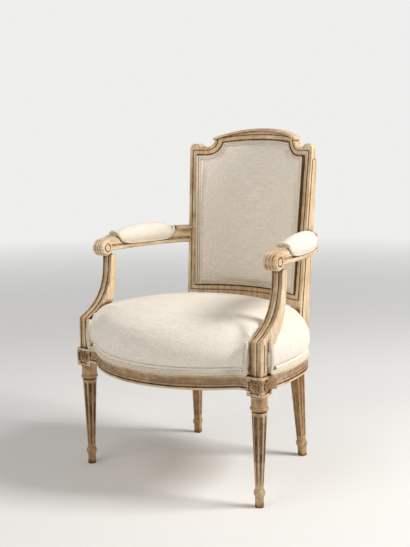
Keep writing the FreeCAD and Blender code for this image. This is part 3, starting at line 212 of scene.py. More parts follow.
@dataclass(frozen=True)
class PaintedWood:
    """Old cream paint, ochre and dark brown in its hollows as patina partly deepened by painted shade, and
    browner on the legs.
    """

    name: str = "worn cream paint"
    cream: Rgb = (0.74, 0.54, 0.32)
    pale: Rgb = (0.86, 0.72, 0.52)
    ochre: Rgb = (0.36, 0.185, 0.065)
    brown: Rgb = (0.075, 0.031, 0.010)
    rose: Rgb = (0.60, 0.36, 0.25)
    umber: Rgb = (0.20, 0.095, 0.032)
    lying: tuple[tuple[float, float], ...] = (
        (0.270, 0.0), (0.274, 1.0), (0.322, 1.0), (0.326, 0.0), (0.545, 0.0),
        (0.560, 1.0), (0.610, 1.0), (0.625, 0.0), (0.838, 0.0), (0.846, 1.0))
    leg_axis: tuple[float, float] = (0.265, -0.16729)
    shaft_low: tuple[float, float] = (0.046, 0.0102)
    shaft_taper: float = 0.0446
    reach: float = 0.016
    leg_top: float = 0.272
    crest_low: float = 0.866

    def material(self) -> bpy.types.Material:
        """Builds the material and returns it."""
        s = Shader(self.name)
        clouds = s.ramp(s.noise(11.0, 5.0), [(0.35, 0.0), (0.65, 1.0)])
        colour = s.mix(clouds, self.cream, self.pale)
        level = s.add("ShaderNodeSeparateXYZ")
        s.join(s.place(), level.inputs[0])
        height = level.outputs["Z"]
        low = s.ramp(height, [(self.leg_top - 0.012, 1.0), (self.leg_top + 0.012, 0.0)])
        upright = s.noise(1.0, 6.0, s.place((150.0, 150.0, 9.0)), 0.62)
        level_run = s.noise(1.0, 6.0, s.place((14.0, 14.0, 200.0)), 0.62)
        on_rail = s.ramp(height, list(self.lying))
        streaks = s.maths("ADD", s.maths("MULTIPLY", on_rail, level_run),
                          s.maths("MULTIPLY", s.maths("SUBTRACT", 1.0, on_rail), upright))
        thin = s.ramp(streaks, [(0.44, 0.0), (0.66, 0.66)])
        colour = s.mix(thin, colour, self.ochre)
        # Browner, streaked paint on the legs below the seat rails.
        bare = s.maths("MULTIPLY", low, s.ramp(s.noise(26.0, 6.0, s.place((1.0, 1.0, 0.3)), 0.65),
                                               [(0.36, 0.15), (0.60, 0.85)]))
        colour = s.mix(bare, colour, self.ochre)
        # Hollows go ochre and the deepest near-black brown: partly patina, partly painted shade in recesses.
        hollow = s.add("ShaderNodeAmbientOcclusion", samples=8)
        hollow.inputs["Distance"].default_value = self.reach
        uneven = s.maths("MULTIPLY", s.maths("SUBTRACT", s.noise(55.0, 6.0, None, 0.65), 0.5), 0.9)
        open_air = s.maths("ADD", hollow.outputs["AO"], uneven)
        # On the legs the colouring of the hollows reaches further.
        deep = s.maths("SUBTRACT", open_air, s.maths("MULTIPLY", low, 0.14))
        patina_and_shade = s.ramp(deep, [(0.50, 0.92), (0.74, 0.58), (0.95, 0.0)])
        colour = s.mix(patina_and_shade, colour, self.ochre)
        dark = s.ramp(deep, [(0.44, 0.92), (0.74, 0.0)])
        colour = s.mix(dark, colour, self.brown)
        ridge = s.add("ShaderNodeAmbientOcclusion", samples=8, inside=True)
        ridge.inputs["Distance"].default_value = 0.0022
        edge = s.maths("ADD", ridge.outputs["AO"], s.maths("MULTIPLY", s.noise(80.0, 4.0), 0.9))
        worn = s.ramp(edge, [(0.70, 0.85), (0.90, 0.0)])
        colour = s.mix(worn, colour, self.ochre)
        crest = s.ramp(height, [(self.crest_low, 0.0), (self.crest_low + 0.014, 0.8)])
        rubbed = s.maths("MULTIPLY", crest, s.ramp(s.noise(24.0, 5.0), [(0.45, 0.0), (0.55, 1.0)]))
        colour = s.mix(rubbed, colour, self.rose)
        blotch = s.ramp(s.noise(34.0, 6.0, None, 0.65), [(0.34, 0.35), (0.56, 1.0)])
        # Umber band at the height of the front rail's broad cove: partly patina, partly painted shade.
        face = s.ramp(height, [(0.288, 0.0), (0.294, 0.72), (0.309, 0.72), (0.315, 0.0)])
        colour = s.mix(s.maths("MULTIPLY", face, blotch), colour, self.umber)
        # Dark brown in the front legs' flutes: partly patina, partly painted shade.
        colour = s.mix(s.maths("MULTIPLY", self.flutes(s, level), blotch), colour, self.brown)
        s.join(colour, s.surface.inputs["Base Color"])
        rough = s.ramp(s.noise(30.0, 4.0), [(0.3, 0.40), (0.7, 0.60)])
        s.join(rough, s.surface.inputs["Roughness"])
        s.surface.inputs["Specular IOR Level"].default_value = 0.35
        s.bump(s.maths("ADD", s.noise(120.0, 5.0), s.maths("MULTIPLY", streaks, 0.6)), 0.3, 0.0007)
        return s.material

    def flutes(self, s: Shader, level: bpy.types.Node) -> bpy.types.NodeSocket:
        """Where the surface of a front leg lies in a flute.

        Args:
            s: the material in hand.
            level: node with the object coordinates split up.

        Returns:
            1 in a flute and 0 elsewhere.
        """
        across = s.maths("SUBTRACT", s.maths("ABSOLUTE", level.outputs["X"]), self.leg_axis[0])
        along = s.maths("SUBTRACT", level.outputs["Y"], self.leg_axis[1])
        squares = s.maths("ADD", s.maths("MULTIPLY", across, across), s.maths("MULTIPLY", along, along))
        reach = s.maths("SQRT", squares)
        above = s.maths("SUBTRACT", level.outputs["Z"], self.shaft_low[0])
        rise = s.maths("MULTIPLY", above, self.shaft_taper)
        full = s.maths("ADD", rise, self.shaft_low[1])
        depth = s.maths("SUBTRACT", 1.0, s.maths("DIVIDE", reach, full))
        sunk = s.ramp(depth, [(0.015, 0.0), (0.07, 0.92), (0.5, 0.92), (0.55, 0.0)])
        shaft = s.ramp(level.outputs["Z"], [(0.048, 0.0), (0.054, 1.0), (0.226, 1.0), (0.232, 0.0)])
        return s.maths("MULTIPLY", sunk, shaft)


@dataclass(frozen=True)
class BareWood:
    """Bare beech inside the seat frame."""

    name: str = "bare beech"
    light: Rgb = (0.42, 0.26, 0.13)
    dark: Rgb = (0.25, 0.13, 0.055)

    def material(self) -> bpy.types.Material:
        """Builds the material and returns it."""
        s = Shader(self.name)
        grain = s.ramp(s.noise(40.0, 6.0, s.place((0.2, 1.0, 1.0))), [(0.35, 0.0), (0.68, 1.0)])
        s.join(s.mix(grain, self.light, self.dark), s.surface.inputs["Base Color"])
        s.surface.inputs["Roughness"].default_value = 0.75
        s.bump(s.noise(160.0, 4.0, s.place((0.2, 1.0, 1.0))), 0.3, 0.0005)
        return s.material


@dataclass(frozen=True)
class Linen:
    """Natural linen with slubs along the weft."""

    name: str = "natural linen"
    light: Rgb = (0.93, 0.885, 0.81)
    warm: Rgb = (0.68, 0.55, 0.40)
    thread: float = 900.0
    sheen: float = 0.25

    def material(self) -> bpy.types.Material:
        """Builds the material and returns it."""
        s = Shader(self.name)
        slub = s.ramp(s.noise(1.0, 6.0, s.place((22.0, 480.0, 480.0)), 0.6), [(0.42, 0.0), (0.70, 0.6)])
        warp = s.ramp(s.noise(1.0, 5.0, s.place((420.0, 60.0, 60.0)), 0.6), [(0.48, 0.0), (0.74, 0.35)])
        colour = s.mix(slub, self.light, self.warm)
        colour = s.mix(warp, colour, self.warm)
        cloud = s.ramp(s.noise(6.0, 3.0), [(0.35, 0.0), (0.75, 0.18)])
        colour = s.mix(cloud, colour, self.warm)
        s.join(colour, s.surface.inputs["Base Color"])
        s.surface.inputs["Roughness"].default_value = 0.86
        s.surface.inputs["Specular IOR Level"].default_value = 0.2
        s.surface.inputs["Sheen Weight"].default_value = self.sheen
        s.surface.inputs["Sheen Roughness"].default_value = 0.5
        fine = s.noise(self.thread, 3.0)
        height = s.maths("ADD", s.maths("MULTIPLY", slub, 0.8), s.maths("MULTIPLY", fine, 0.5))
        s.bump(height, 0.35, 0.0005)
        return s.material


@dataclass(frozen=True)
class Jute:
    """Coarse jute of the webbing and the burlap."""

    name: str = "jute"
    light: Rgb = (0.42, 0.31, 0.17)
    dark: Rgb = (0.22, 0.15, 0.07)
    pitch: float = 420.0

    def material(self) -> bpy.types.Material:
        """Builds the material and returns it."""
        s = Shader(self.name)
        across = s.add("ShaderNodeTexWave", bands_direction="X")
        along = s.add("ShaderNodeTexWave", bands_direction="Y")
        for wave in (across, along):
            wave.inputs["Scale"].default_value = self.pitch / 6.28
            wave.inputs["Distortion"].default_value = 1.2
            s.join(s.place(), wave.inputs["Vector"])
        weave = s.maths("MULTIPLY", across.outputs["Fac"], along.outputs["Fac"])
        mottled = s.maths("ADD", weave, s.maths("MULTIPLY", s.noise(50.0, 4.0), 0.6))
        share = s.ramp(mottled, [(0.2, 0.0), (0.9, 1.0)])
        s.join(s.mix(share, self.dark, self.light), s.surface.inputs["Base Color"])
        s.surface.inputs["Roughness"].default_value = 0.95
        s.bump(weave, 0.5, 0.0006)
        return s.material


@dataclass(frozen=True)
class Metal:
    """Dull iron of screws and tacks."""

    name: str = "dull iron"
    colour: Rgb = (0.20, 0.19, 0.18)

    def material(self) -> bpy.types.Material:
        """Builds the material and returns it."""
        s = Shader(self.name)
        tone = s.ramp(s.noise(300.0, 4.0), [(0.3, 0.0), (0.8, 1.0)])
        s.join(s.mix(tone, self.colour, (0.33, 0.30, 0.27)), s.surface.inputs["Base Color"])
        s.surface.inputs["Metallic"].default_value = 0.85
        s.surface.inputs["Roughness"].default_value = 0.5
        return s.material


@dataclass
class Palette:
    """All the finishes of the chair, each built once."""

    paint: bpy.types.Material = field(init=False)
    beech: bpy.types.Material = field(init=False)
    linen: bpy.types.Material = field(init=False)
    cord: bpy.types.Material = field(init=False)
    jute: bpy.types.Material = field(init=False)
    iron: bpy.types.Material = field(init=False)

    def __post_init__(self) -> None:
        """Builds every material."""
        self.paint = PaintedWood().material()
        self.beech = BareWood().material()
        self.linen = Linen().material()
        self.cord = Linen(name="linen cord", light=(0.84, 0.76, 0.63), warm=(0.54, 0.43, 0.30)).material()
        self.jute = Jute().material()
        self.iron = Metal().material()


# Meshes


def new_object(name: str, verts: list, edges: list, faces: list) -> bpy.types.Object:
    """New mesh object in the scene.

    Args:
        name: the object's name.
        verts: corner positions in metres.
        edges: pairs of corners.
        faces: rings of corners.

    Returns:
        The object.
    """
    mesh = bpy.data.meshes.new(name)
    mesh.from_pydata(verts, edges, faces)
    mesh.validate()
    obj = bpy.data.objects.new(name, mesh)
    bpy.context.scene.collection.objects.link(obj)
    return obj


def whole_copy(node: str, name: str) -> bpy.types.Object:
    """Copy of a solid of the frame with its loose triangles joined.

    Args:
        node: the solid's name.
        name: the copy's name.

    Returns:
        The copy as a new object.
    """
    mesh = bpy.data.meshes.new(name)
    build = bmesh.new()
    build.from_mesh(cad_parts[node].data)
    bmesh.ops.remove_doubles(build, verts=build.verts, dist=2e-6)
    bmesh.ops.dissolve_degenerate(build, dist=1e-7, edges=build.edges)
    bmesh.ops.recalc_face_normals(build, faces=build.faces)
    verts = [v.co.copy() for v in build.verts]
    build.verts.index_update()
    faces = [[v.index for v in f.verts] for f in build.faces]
    build.free()
    mesh.from_pydata(verts, [], faces)
    obj = bpy.data.objects.new(name, mesh)
    bpy.context.scene.collection.objects.link(obj)
    return obj


def joined(name: str, *pieces: bpy.types.Object) -> bpy.types.Object:
    """One object made of several.

    Args:
        name: the new object's name.
        pieces: the objects, which are used up.

    Returns:
        The new object.
    """
    verts: list = []
    faces: list = []
    for piece in pieces:
        first = len(verts)
        verts += [tuple(v.co) for v in piece.data.vertices]
        faces += [tuple(first + i for i in f.vertices) for f in piece.data.polygons]
        bpy.data.objects.remove(piece)
    return new_object(name, verts, [], faces)


def step_up(values: np.ndarray, low: float, high: float) -> np.ndarray:
    """Smooth rise from 0 at the low value to 1 at the high one."""
    t = np.clip((values - low) / (high - low), 0.0, 1.0)
    return t * t * (3.0 - 2.0 * t)


def shade(obj: bpy.types.Object, material: bpy.types.Material, angle: float = 180.0) -> None:
    """Gives a piece its material and smooth shading up to an angle.

    Args:
        obj: the piece.
        material: its finish.
        angle: sharpest smooth edge in degrees.
    """
    obj.data.materials.clear()
    obj.data.materials.append(material)
    obj.data.shade_smooth()
    if angle < 180.0:
        obj.data.set_sharp_from_angle(angle=math.radians(angle))


def grown(obj: bpy.types.Object, tree: bpy.types.NodeTree, sizes: dict[str, float]) -> None:
    """Runs a node tree on a piece and keeps the result as a plain mesh.

    Args:
        obj: the piece.
        tree: the node tree.
        sizes: value of each named input.
    """
    modifier = obj.modifiers.new(tree.name, "NODES")
    modifier.node_group = tree
    for item in tree.interface.items_tree:
        if item.in_out == "INPUT" and item.name in sizes:
            modifier[item.identifier] = sizes[item.name]
    baked(obj)


def covered(obj: bpy.types.Object, material: bpy.types.Material) -> None:
    """Gives a pad its cloth, one step finer than its mesh."""
    finish = obj.modifiers.new("finish", "SUBSURF")
    finish.levels = finish.render_levels = 1
    shade(obj, material)


def baked(obj: bpy.types.Object) -> None:
    """Turns a piece and its modifiers into a plain mesh."""
    graph = bpy.context.evaluated_depsgraph_get()
    mesh = bpy.data.meshes.new_from_object(obj.evaluated_get(graph))
    obj.modifiers.clear()
    obj.data = mesh


def points_of(obj: bpy.types.Object) -> np.ndarray:
    """Corner positions of a piece.

    Args:
        obj: the piece.

    Returns:
        Array of positions, one row each.
    """
    co = np.empty(len(obj.data.vertices) * 3)
    obj.data.vertices.foreach_get("co", co)
    return co.reshape(-1, 3)


def put_points(obj: bpy.types.Object, co: np.ndarray) -> None:
    """Moves the corners of a piece to new positions."""
    obj.data.vertices.foreach_set("co", co.reshape(-1))
    obj.data.update()


def dress(obj: bpy.types.Object, slot: str, *nodes: str) -> bpy.types.Object:
    """Attaches a piece to the chair and hides the solids that it stands for.

    Args:
        obj: the piece.
        slot: its finish; not used.
        nodes: solids that it replaces.

    Returns:
        The same piece.
    """
    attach(obj, BODY)
    if nodes:
        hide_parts(*nodes)
    log.info("%s: %d faces", obj.name, len(obj.data.polygons))
    return obj


def sheet(node: str, name: str, slot: str, material: bpy.types.Material) -> None:
    """Dresses a stretched sheet of cloth as its own piece.

    Args:
        node: the solid that it stands for.
        name: the piece's name.
        slot: its finish.
        material: its finish.
    """
    piece = whole_copy(node, name)
    shade(piece, material, 40.0)
    dress(piece, slot, node)


# Paths in plan


@dataclass
class PlanPath:
    """A plan curve of lines and arcs in millimetres, as the frame maker draws it; offsets go to its right."""

    x: float
    y: float
    heading: float
    pieces: list[tuple[float, float, float, float, float]] = field(default_factory=list)

    def line(self, length: float) -> "PlanPath":
        """Goes straight on."""
        self.pieces.append((self.x, self.y, self.heading, length, 0.0))
        self.x += length * math.cos(math.radians(self.heading))
        self.y += length * math.sin(math.radians(self.heading))
        return self

    def arc(self, radius: float, turn: float) -> "PlanPath":
        """Turns on an arc, to the left for a positive turn."""
        self.pieces.append((self.x, self.y, self.heading, radius, turn))
        self.x, self.y, self.heading = self.spot(len(self.pieces) - 1, 1.0)
        return self

    def spot(self, index: int, share: float) -> tuple[float, float, float]:
        """Place and heading on one piece.

        Args:
            index: the piece.
            share: how far along it.

        Returns:
            x, y and heading.
        """
        x, y, heading, size, turn = self.pieces[index]
        if turn == 0.0:
            way = math.radians(heading)
            return x + size * share * math.cos(way), y + size * share * math.sin(way), heading
        side = math.copysign(90.0, turn)
        out = math.radians(heading + side)
        back = math.radians(heading - side + turn * share)
        return (x + size * (math.cos(out) + math.cos(back)), y + size * (math.sin(out) + math.sin(back)),
                heading + turn * share)

    def length(self, index: int) -> float:
        """Length of one piece."""
        _, _, _, size, turn = self.pieces[index]
        return size if turn == 0.0 else size * math.radians(abs(turn))

    def at(self, distance: float) -> tuple[float, float, float]:
        """Place and heading at a distance from the start."""
        left = distance
        last = len(self.pieces) - 1
        for index in range(last + 1):
            size = self.length(index)
            if left <= size or index == last:
                return self.spot(index, left / size)
            left -= size
        return self.spot(last, 1.0)

    def total(self) -> float:
        """Length of the whole curve."""
        return sum(self.length(index) for index in range(len(self.pieces)))

    def offset(self, distance: float, off: float, z: float) -> Vector:
        """Point in metres beside the curve.

        Args:
            distance: how far along.
            off: how far to the right.
            z: height.

        Returns:
            The point.
        """
        x, y, heading = self.at(distance)
        way = math.radians(heading)
        return Vector((x + off * math.sin(way), y - off * math.cos(way) + PLAN_SHIFT, z)) * MM


@dataclass
class Outline:
    """Driving sizes of the seat frame and the back, in millimetres."""

    leg_x: float = 265.0
    block: float = 43.0
    front_y: float = -194.0
    front_arc: float = 300.0
    front_crest: float = -289.5
    front_cove: float = 30.0
    side_start: tuple[float, float, float] = (288.9, -150.0, 85.2)
    side_arcs: tuple[tuple[float, float], ...] = ((620.0, 15.0), (188.0, 19.2), (542.0, 13.0))
    arm_start: tuple[float, float, float] = (264.0, -107.5, 90.0)
    arm_arcs: tuple[tuple[float, float], ...] = ((800.0, 18.6), (90.0, 33.4))
    rake: float = 0.0905
    bow_y: float = 217.5
    bow_z: float = 420.0
    bow_radius: float = 262.0
    sight_bottom: float = 449.0
    sight_shoulder: float = 811.0
    sight_top: float = 853.0
    sight_inset: float = 24.2
    shoulder_arc: float = 42.0
    shoulder_x: float = 148.0
    stile_x: float = 184.4
    stile_spread: float = 0.0267

    def front(self) -> PlanPath:
        """Front rail from the left block to the right one."""
        centre = self.front_crest + self.front_arc
        cove = self.front_y - self.front_cove
        reach = self.front_arc + self.front_cove
        x = math.sqrt(reach ** 2 - (centre - cove) ** 2)
        turn = math.degrees(math.asin(x / reach))
        inner = self.leg_x - self.block / 2
        path = PlanPath(-inner, self.front_y, 0.0).line(inner - x)
        path.arc(self.front_cove, -turn).arc(self.front_arc, 2 * turn).arc(self.front_cove, -turn)
        return path.line(inner - x)

    def side(self) -> PlanPath:
        """Right-hand side rail from the front block to the rear one."""
        path = PlanPath(*self.side_start)
        for radius, turn in self.side_arcs:
            path.arc(radius, turn)
        return path

    def arm(self) -> PlanPath:
        """Middle of the right-hand armrest from its scroll to the stile."""
        path = PlanPath(*self.arm_start)
        for radius, turn in self.arm_arcs:
            path.arc(radius, turn)
        return path.line(14.0)

    def bow(self, x: float, z: float, deep: float) -> Vector:
        """Point of the bowed back.

        Args:
            x: place across, in millimetres.
            z: height.
            deep: depth behind the face.

        Returns:
            The point in metres.
        """
        share = x / self.bow_radius
        drop = self.bow_radius * (1.0 - math.cos(math.asin(share)))
        out_x = deep * share
        out_y = deep * math.sqrt(1.0 - share * share)
        y = self.bow_y - drop + out_y + self.rake * (z - self.bow_z) + PLAN_SHIFT
        return Vector((x + out_x, y, z)) * MM

    def sight(self, off: float, deep: float, step: float = 4.0) -> Path:
        """Sight edge of the back panel moved outwards, laid on the bow.

        Args:
            off: how far outwards.
            deep: depth behind the face.
            step: spacing of the points.

        Returns:
            Closed path in metres.
        """
        low = self.sight_bottom - off
        shoulder = self.sight_shoulder + off
        arc = self.shoulder_arc - off
        centre = self.sight_shoulder + self.shoulder_arc
        drop = 7.0
        reach = self.shoulder_x - math.sqrt(self.shoulder_arc ** 2 - drop ** 2)
        radius = (reach ** 2 + drop ** 2) / (2 * drop)
        arch_z = self.sight_top - radius
        span = math.hypot(self.shoulder_x, centre - arch_z)
        along = ((radius + off) ** 2 - arc ** 2 + span ** 2) / (2 * span)
        beside = math.sqrt((radius + off) ** 2 - along ** 2)
        way_x, way_z = self.shoulder_x / span, (centre - arch_z) / span
        step_x = along * way_x - beside * way_z
        step_z = arch_z + along * way_z + beside * way_x
        spread = math.atan2(step_z - centre, step_x - self.shoulder_x) % math.tau
        corners = [(0.0, low), (self.stile_at(low) - self.sight_inset + off, low),
                   (self.stile_at(shoulder) - self.sight_inset + off, shoulder), (self.shoulder_x, shoulder)]
        for i in range(1, 9):
            turn = math.radians(270.0) + (spread - math.radians(270.0)) * i / 8
            corners.append((self.shoulder_x + arc * math.cos(turn), centre + arc * math.sin(turn)))
        for i in range(1, 13):
            x = step_x * (1.0 - i / 12)
            corners.append((x, arch_z + math.sqrt((radius + off) ** 2 - x ** 2)))
        ring = corners + [(-x, z) for x, z in reversed(corners[1:-1])]
        points = []
        for (x0, z0), (x1, z1) in zip(ring, ring[1:] + ring[:1]):
            count = max(1, round(math.hypot(x1 - x0, z1 - z0) / step))
            points += [self.bow(x0 + (x1 - x0) * k / count, z0 + (z1 - z0) * k / count, deep)
                       for k in range(count)]
        return points

    def stile_at(self, z: float) -> float:
        """Outer face of the stile at a height."""
        return self.stile_x + self.stile_spread * (z - self.bow_z)


def flipped(path: Path) -> Path:
    """Mirror image of a path across the chair."""
    return [Vector((-p.x, p.y, p.z)) for p in path]


def eased(path: Path, closed: bool = False, rounds: int = 2) -> Path:
    """Path with its corners cut round.

    Args:
        path: points.
        closed: whether the last joins the first.
        rounds: how often the corners are cut.

    Returns:
        Points of the rounder path.
    """
    for _ in range(rounds):
        ends = path + path[:1] if closed else path
        cut = []
        for a, b in zip(ends, ends[1:]):
            cut += [a.lerp(b, 0.25), a.lerp(b, 0.75)]
        path = cut if closed else [path[0]] + cut + [path[-1]]
    return path


# Cords


@dataclass
class DoubleCord:
    """Two cords side by side, made by one node tree that follows their paths."""

    name: str
    radius: float = 2.5
    spacing: float = 2.6
    around: int = 12

    def tree(self, material: bpy.types.Material) -> bpy.types.NodeTree:
        """Builds the node tree with named sizes.

        Args:
            material: finish of the cords.

        Returns:
            The tree.
        """
        group = bpy.data.node_groups.new(self.name + " tree", "GeometryNodeTree")
        face = group.interface
        face.new_socket("Paths", in_out="INPUT", socket_type="NodeSocketGeometry")
        face.new_socket("Radius", in_out="INPUT", socket_type="NodeSocketFloat")
        face.new_socket("Spacing", in_out="INPUT", socket_type="NodeSocketFloat")
        face.new_socket("Cords", in_out="OUTPUT", socket_type="NodeSocketGeometry")
        add = group.nodes.new
        start, end = add("NodeGroupInput"), add("NodeGroupOutput")
        curve, even = add("GeometryNodeMeshToCurve"), add("GeometryNodeResampleCurve")
        ring, sweep = add("GeometryNodeCurvePrimitiveCircle"), add("GeometryNodeCurveToMesh")
        smooth, paint = add("GeometryNodeSetShadeSmooth"), add("GeometryNodeSetMaterial")
        real = add("GeometryNodeRealizeInstances")
        even.mode = "LENGTH"
        ring.inputs["Resolution"].default_value = self.around
        sweep.inputs["Fill Caps"].default_value = True
        paint.inputs["Material"].default_value = material
        link = group.links.new
        link(start.outputs["Paths"], curve.inputs[0])
        link(curve.outputs[0], even.inputs["Curve"])
        link(start.outputs["Spacing"], even.inputs["Length"])
        link(start.outputs["Radius"], ring.inputs["Radius"])
        link(even.outputs[0], sweep.inputs["Curve"])
        link(ring.outputs[0], sweep.inputs["Profile Curve"])
        link(sweep.outputs[0], smooth.inputs[0])
        link(smooth.outputs[0], real.inputs[0])
        link(real.outputs[0], paint.inputs["Geometry"])
        link(paint.outputs[0], end.inputs[0])
        return group

    def make(self, paths: list[tuple[Path, bool]], material: bpy.types.Material) -> bpy.types.Object:
        """Sweeps the cords.

        Args:
            paths: each path with whether it is closed.
            material: finish of the cords.

        Returns:
            The cords as one plain mesh.
        """
        verts: list[Vector] = []
        edges: list[tuple[int, int]] = []
        for path, closed in paths:
            first = len(verts)
            verts += path
            edges += [(first + i, first + i + 1) for i in range(len(path) - 1)]
            if closed:
                edges.append((len(verts) - 1, first))
        obj = new_object(self.name, verts, edges, [])
        grown(obj, self.tree(material), {"Radius": self.radius * MM, "Spacing": self.spacing * MM})
        return obj


# Padded pieces


@dataclass
class Padding:
    """Swells a pad under its cover until the cloth is tight."""

    voxel: float = 5.0
    pressure: float = 4.0
    cap: float = 4.0
    frames: int = 20
    ease: int = 4

    def swell(self, name: str, node: str, *skins: str) -> bpy.types.Object:
        """Copies the stuffing, remeshes it, blows the cloth tight and smooths it.

        Args:
            name: the new piece's name.
            node: the solid of the stuffing.
            skins: the solids of the cloth over it.

        Returns:
            The covered pad as a plain mesh.
        """
        obj = joined(name, whole_copy(node, name + " core"), *(whole_copy(n, name + " skin") for n in skins))
        remesh = obj.modifiers.new("even", "REMESH")
        remesh.mode = "VOXEL"
        remesh.voxel_size = self.voxel * MM
        baked(obj)
        before = points_of(obj)
        self.blow(obj)
        after = points_of(obj)
        move = after - before
        size = np.linalg.norm(move, axis=1, keepdims=True)
        limit = self.cap * MM
        put_points(obj, before + move * np.minimum(1.0, limit / np.maximum(size, 1e-9)))
        soft = obj.modifiers.new("ease", "SMOOTH")
        soft.factor = 0.5
        soft.iterations = self.ease
        baked(obj)
        return obj

    def blow(self, obj: bpy.types.Object) -> None:
        """Runs the cloth with pressure inside it and applies the result.

        Args:
            obj: the pad.
        """
        cloth = obj.modifiers.new("cloth", "CLOTH")
        cloth.settings.quality = 4
        cloth.settings.use_pressure = True
        cloth.settings.uniform_pressure_force = self.pressure
        cloth.settings.effector_weights.gravity = 0.0
        cloth.settings.tension_stiffness = 30.0
        cloth.settings.compression_stiffness = 30.0
        cloth.point_cache.frame_start = 1
        cloth.point_cache.frame_end = self.frames
        for step in range(1, self.frames + 1):
            bpy.context.scene.frame_set(step)
        baked(obj)
        bpy.context.scene.frame_set(1)


# The chair


@dataclass
class WoodFrame:
    """All the wooden pieces, with old paint outside and bare wood inside."""

    palette: Palette
    soft_angle: float = 32.0
    block_back: float = -145.8
    block_side: float = 286.3
    meet_run: float = 45.0
    painted: tuple[str, ...] = (
        "front_leg_left", "front_leg_right", "rear_leg_left", "rear_leg_right", "front_rail",
        "side_rail_left", "side_rail_right", "crest_rail", "back_bottom_rail", "arm_support_left",
        "arm_support_right", "armrest_left", "armrest_right", "rear_rail")
    bare: tuple[str, ...] = (
        "corner_block_front_left", "corner_block_front_right", "corner_block_rear_left",
        "corner_block_rear_right", "seat_frame_pegs", "arm_dowels")

    def build(self) -> None:
        """Makes a painted copy of every outer piece and dresses the bare ones."""
        for node in self.painted:
            piece = whole_copy(node, node + "_dressed")
            if node.startswith("side_rail"):
                self.meet_block(piece)
            shade(piece, self.palette.paint, self.soft_angle)
            dress(piece, "bare_wood" if node == "rear_rail" else "painted_wood", node)
        for node in self.bare:
            self.plain(node, self.palette.beech)
        self.plain("corner_block_screws", self.palette.iron)

    def meet_block(self, piece: bpy.types.Object) -> None:
        """Runs the face of a side rail flush into the side of the front block.

        Args:
            piece: the rail.
        """
        co = points_of(piece)
        near = 1.0 - step_up(co[:, 1], self.block_back * MM, (self.block_back + self.meet_run) * MM)
        out = np.maximum(np.abs(co[:, 0]) - self.block_side * MM, 0.0)
        co[:, 0] -= np.sign(co[:, 0]) * out * near
        put_points(piece, co)

    @staticmethod
    def plain(node: str, material: bpy.types.Material) -> None:
        """Gives a solid of the frame its material."""
        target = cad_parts[node].data
        target.materials.clear()
        target.materials.append(material)


@dataclass
class Rosettes:
    """Carved rosettes in leafy squares on the blocks above the front legs, from one node tree."""

    palette: Palette
    leg_x: float = 265.0
    leg_y: float = -167.29
    half: float = 21.5
    middle: float = 295.5
    petals: int = 8
    radius: float = 7.6
    corner: float = 20.5
    sunk: float = 0.9

    def build(self) -> None:
        """Carves one rosette and lays it on the four outer faces."""
        one = self.carve()
        co = points_of(one)
        faces = [tuple(f.vertices) for f in one.data.polygons]
        bpy.data.objects.remove(one)
        verts: list = []
        rings: list = []
        for hand in (-1.0, 1.0):
            reach = self.half - self.sunk
            before = Vector((hand * self.leg_x, self.leg_y - reach, self.middle)) * MM
            beside = Vector((hand * (self.leg_x + reach), self.leg_y, self.middle)) * MM
            turns = (Matrix.Translation(before) @ Matrix.Rotation(math.pi / 2, 4, "X"),
                     Matrix.Translation(beside) @ Matrix.Rotation(hand * math.pi / 2, 4, "Y"))
            for turn in turns:
                first = len(verts)
                verts += [turn @ Vector(p) for p in co]
                rings += [tuple(first + i for i in ring) for ring in faces]
        piece = new_object("block_rosettes", verts, [], rings)
        shade(piece, self.palette.paint)
        dress(piece, "painted_wood")

    def carve(self) -> bpy.types.Object:
        """Grows the petals and the corner leaves round the button.

        Returns:
            One rosette as a plain mesh, facing up.
        """
        group = bpy.data.node_groups.new("rosette tree", "GeometryNodeTree")
        face = group.interface
        sizes = {"Radius": self.radius * MM, "Corner": self.corner * MM, "Petal": 3.6 * MM}
        for name in sizes:
            face.new_socket(name, in_out="INPUT", socket_type="NodeSocketFloat")
        face.new_socket("Carving", in_out="OUTPUT", socket_type="NodeSocketGeometry")
        add = group.nodes.new
        link = group.links.new
        start, end = add("NodeGroupInput"), add("NodeGroupOutput")
        join, real = add("GeometryNodeJoinGeometry"), add("GeometryNodeRealizeInstances")
        paint = add("GeometryNodeSetMaterial")
        paint.inputs["Material"].default_value = self.palette.paint
        rounds = ((self.petals, "Radius", (1.25, 0.62, 0.55), 0.0), (4, "Corner", (1.5, 0.75, 0.5), 45.0),
                  (8, "Corner", (0.8, 0.5, 0.42), 22.5))
        for count, size, shape, turn in rounds:
            ring, leaf = add("GeometryNodeMeshCircle"), add("GeometryNodeMeshUVSphere")
            place, spin = add("GeometryNodeInstanceOnPoints"), add("GeometryNodeTransform")
            index, step = add("GeometryNodeInputIndex"), add("ShaderNodeMath")
            turned = add("ShaderNodeCombineXYZ")
            ring.inputs["Vertices"].default_value = count
            leaf.inputs["Segments"].default_value = 14
            leaf.inputs["Rings"].default_value = 9
            step.operation = "MULTIPLY"
            step.inputs[1].default_value = math.tau / count
            spin.inputs["Rotation"].default_value = (0.0, 0.0, math.radians(turn))
            place.inputs["Scale"].default_value = shape
            link(start.outputs[size], ring.inputs["Radius"])
            link(start.outputs["Petal"], leaf.inputs["Radius"])
            link(index.outputs[0], step.inputs[0])
            link(step.outputs[0], turned.inputs["Z"])
            link(ring.outputs[0], place.inputs["Points"])
            link(leaf.outputs[0], place.inputs["Instance"])
            link(turned.outputs[0], place.inputs["Rotation"])
            link(place.outputs[0], spin.inputs[0])
            link(spin.outputs[0], join.inputs[0])
        button = add("GeometryNodeMeshUVSphere")
        link(start.outputs["Petal"], button.inputs["Radius"])
        link(button.outputs[0], join.inputs[0])
        link(join.outputs[0], real.inputs[0])
        link(real.outputs[0], paint.inputs["Geometry"])
        link(paint.outputs[0], end.inputs[0])
        obj = new_object("rosette", [(0.0, 0.0, 0.0)], [], [])
        grown(obj, group, sizes)
        return obj


